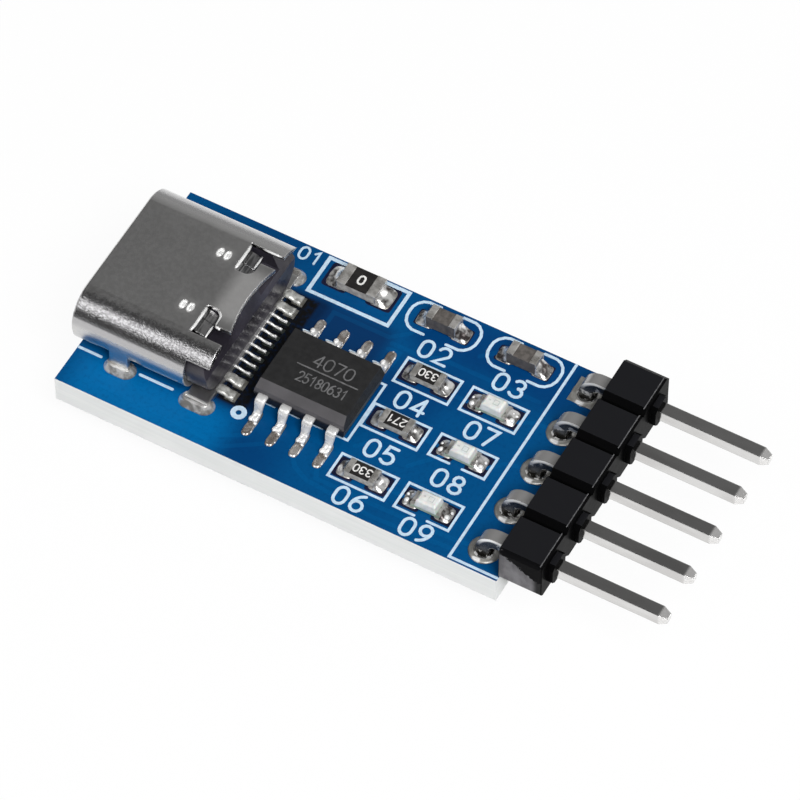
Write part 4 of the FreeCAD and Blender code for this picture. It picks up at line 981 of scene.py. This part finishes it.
# ---------------------------------------------------------------- the shell's welds and windows
def bead(mesh, points, radius, top, steps=5):
    """A rounded edge that runs along points, its crown at height top."""
    rings = []
    points = [Vector(p) for p in points]
    for n, point in enumerate(points):
        along = heading(points, n)
        aside = Vector((-along.y, along.x))
        wide = radius * (0.4 if n in (0, len(points) - 1) else 1.0)
        ring = []
        for k in range(2 * steps):
            turn = math.pi * k / steps
            spot = point + aside * wide * math.cos(turn)
            ring.append(vert(mesh, spot.x, spot.y, top - radius + wide * math.sin(turn)))
        rings.append(ring)
    tube(mesh, rings)


# Domes in the weld dents, painted near white as highlights
welds = bmesh.new()
for x in WELD_PLACES:
    for y in WELD_ROWS:
        dome(welds, place(x, y), (0.11, 0.21), SHELL_TOP - 0.099, 0.09, square=2.2)
piece("shell_weld_highlights", welds, EDGE_HIGHLIGHT)

# Rounded window edges, painted near white as edge highlights
THICK_EDGE, THIN_EDGE = 0.085, 0.055
edges = bmesh.new()
front, rear = WINDOW_FRONT + 0.03, WINDOW_FRONT + 0.92
for side in (-1, 1):
    bead(edges, [(front, side * y) for y in (1.32, 1.45, 2.0, 2.6, 2.86)], THICK_EDGE, SHELL_TOP)
    flap_tip = [(WINDOW_FRONT + 0.7, side * y) for y in (1.9, 2.1, 2.5, 2.72)]
    bead(edges, flap_tip, THIN_EDGE, SHELL_TOP - 0.34)
rear_near = [(-0.4, -1.23), (-0.18, -1.3), (-0.03, -1.5), (0, -1.75), (0.02, -1.96), (0.1, -2.1),
             (0.28, -2.18)]
bead(edges, [(rear + dx, y) for dx, y in rear_near], THICK_EDGE, SHELL_TOP)
dome(edges, (rear + 0.13, -2.07), (0.15, 0.12), SHELL_TOP - 0.08, 0.075)
far_side = [(x, 2.92) for x in (rear - 0.3, rear, rear + 0.3, SHELL_REAR - 0.1)]
bead(edges, far_side, THIN_EDGE, SHELL_TOP)
piece("window_edge_highlights", edges, EDGE_HIGHLIGHT)

# Two bent plates in each window, through (back from its front edge, down from the shell's top)
BENDS = ((0.0, 0.05), (0.18, 0.26), (0.72, 0.42))
tongues = bmesh.new()
for side in (-1, 1):
    for drop in (0.0, 0.1):
        for (xa, za), (xb, zb) in zip(BENDS, BENDS[1:]):
            tongues.faces.new([
                vert(tongues, WINDOW_FRONT + x, side * y, SHELL_TOP - z - drop)
                for x, z, y in ((xa, za, 1.24), (xa, za, 1.84), (xb, zb, 1.84), (xb, zb, 1.3))])
bmesh.ops.remove_doubles(tongues, verts=tongues.verts[:], dist=0.001 * MM)
piece("window_tongues", tongues, MATERIALS["shell_nickel"], smooth=False)


# ---------------------------------------------------------------- the header's torn end and ridge
torn = bmesh.new()
x0, x1 = HOUSE_LOW[0] + 0.02, HOUSE_LOW[0] + 2.2
z0, z1 = HOUSE_LOW[2] + 0.16, HOUSE_HIGH[2] - 0.03
cells = 26
grid = []
for n in range(cells + 1):
    row = []
    for k in range(cells + 1):
        x, z = x0 + (x1 - x0) * n / cells, z0 + (z1 - z0) * k / cells
        depth = HOUSE_HIGH[2] - z - (x - HOUSE_LOW[0]) * TEAR_SLOPE
        ragged = 0.16 * lumpy.noise(Vector((x * 4.2, z * 4.2, 2.0)))
        if n in (0, cells) or k in (0, cells):
            out = 0.0
        elif depth + ragged < 0.12:
            out = 0.12
        else:
            out = 0.03 + 0.03 * lumpy.noise(Vector((x * 3.0, z * 3.0, 7.0)))
        row.append(vert(torn, x, HOUSE_LOW[1] - max(0.004, out), z))
    row.append(vert(torn, x, HOUSE_LOW[1] + 0.2, HOUSE_HIGH[2] - 0.002))
    grid.append(row)
sheet(torn, grid)
piece("header_torn_end", torn, TORN, smooth=False)

# A thin grey line painted along the ridge of each segment as a highlight
ridge_x = HOUSE_LOW[0] + 2.12
ridge = []
for n in range(PINS):
    y = EDGE_Y + PIN_PITCH / 2 + PIN_PITCH * n
    for start, stop in ((-1.05, -0.3), (-0.3, 0.45), (0.45, 1.05)):
        ridge.append(([(ridge_x, y + start), (ridge_x, y + stop)], 0.05, False))
printed("header_ridge_highlight", ridge, HOUSE_HIGH[2], GLINT, 0.001)

# The die and the bond that show through each lens
for n in (1, 2, 3):
    lens = f"indicator_{n}_lens"
    x, y, _ = middle_of(lens)
    die = [(x, y - 0.13), (x + 0.26, y - 0.13), (x + 0.26, y + 0.13), (x, y + 0.13)]
    bond = [(x - 0.26, y + 0.02), (x - 0.2, y + 0.02)]
    printed(f"indicator_{n}_die", [(die, 0.035, True), (bond, 0.09, False)], high_of(lens)[2],
            DIE, 0.001)


# ---------------------------------------------------------------- camera, solved from the photo
AIM, DISTANCE = Vector((2.981, 0.474, 1.6)) * MM, 279.361
AZIMUTH, ELEVATION, ROLL = math.radians(28.793), math.radians(54.162), math.radians(0.308)
FOCAL, PICTURE = 5940.27, 800  # in pixels
SENSOR = 36
back = Vector((
    math.sin(AZIMUTH) * math.cos(ELEVATION),
    -math.cos(AZIMUTH) * math.cos(ELEVATION),
    math.sin(ELEVATION),
))
right = Vector((0, 0, 1)).cross(back).normalized()
up = back.cross(right)
turned_right = right * math.cos(ROLL) + up * math.sin(ROLL)
turned_up = up * math.cos(ROLL) - right * math.sin(ROLL)
camera_data = bpy.data.cameras.new("camera")
camera = bpy.data.objects.new("camera", camera_data)
bpy.context.scene.collection.objects.link(camera)
camera.matrix_world = Matrix.Translation(AIM + back * DISTANCE * MM) @ Matrix((
    turned_right, turned_up, back)).transposed().to_4x4()
camera_data.sensor_width = SENSOR
camera_data.lens = FOCAL / PICTURE * SENSOR
camera_data.clip_start = 0.01
camera_data.clip_end = 10
bpy.context.scene.camera = camera
bpy.context.scene.view_settings.view_transform = "Standard"


# ---------------------------------------------------------------- floor, lamps and world
def floor():
    """A white floor that shows white to the camera and to metal, and keeps a soft shadow."""
    m = Skin("floor_white")
    m.set(Base_Color=(0.9, 0.9, 0.9, 1), Roughness=0.9)
    path = m.add("ShaderNodeLightPath")
    seen = m.math("MAXIMUM", path.outputs["Is Camera Ray"], path.outputs["Is Glossy Ray"])
    seen = m.math("MAXIMUM", seen, path.outputs["Is Transmission Ray"])
    glow = m.add("ShaderNodeEmission")
    glow.inputs["Strength"].default_value = 1.0
    blend = m.add("ShaderNodeMixShader")
    m.link(m.times(seen, 0.94), blend.inputs[0])
    m.link(m.shader.outputs[0], blend.inputs[1])
    m.link(glow.outputs[0], blend.inputs[2])
    m.link(blend.outputs[0], m.tree.nodes["Material Output"].inputs["Surface"])
    mesh = bmesh.new()
    bmesh.ops.create_grid(mesh, x_segments=1, y_segments=1, size=1.5)
    data = bpy.data.meshes.new("floor")
    mesh.to_mesh(data)
    mesh.free()
    data.materials.append(m.material)
    item = bpy.data.objects.new("floor", data)
    item.location = (0, 0, cad_box[0][2] - 0.00002)
    bpy.context.scene.collection.objects.link(item)


def lamp(name, direction, distance, size, power):
    """A soft box at a distance in metres along a direction, facing the object."""
    data = bpy.data.lights.new(name, "AREA")
    data.shape = "RECTANGLE"
    data.size, data.size_y = size
    data.energy = power
    item = bpy.data.objects.new(name, data)
    bpy.context.scene.collection.objects.link(item)
    item.location = Vector(direction).normalized() * distance
    item.rotation_euler = (-item.location).to_track_quat("-Z", "Y").to_euler()


def world():
    """A grey studio that turns brighter from the front (-y) to the back."""
    studio = bpy.data.worlds.new("studio")
    bpy.context.scene.world = studio
    studio.use_nodes = True
    t = Tree(studio.node_tree)
    y = t.split(t.add("ShaderNodeTexCoord").outputs["Generated"])[1]
    level = t.ramp(y, 0.36, 0.98, 0.065, 0.46)
    seen = t.add("ShaderNodeLightPath").outputs["Is Camera Ray"]
    t.link(t.math("MAXIMUM", level, seen), t.tree.nodes["Background"].inputs["Strength"])
    t.tree.nodes["Background"].inputs["Color"].default_value = (1, 1, 1, 1)


floor()
world()
lamp("front", (-0.28, -0.65, 0.705), 0.45, (0.6, 0.2), 0.52)
lamp("key", (0.45, -0.35, 0.82), 0.5, (0.26, 0.26), 2.5)
lamp("side", (0.80, 0.50, 0.36), 0.5, (0.12, 0.05), 0.25)
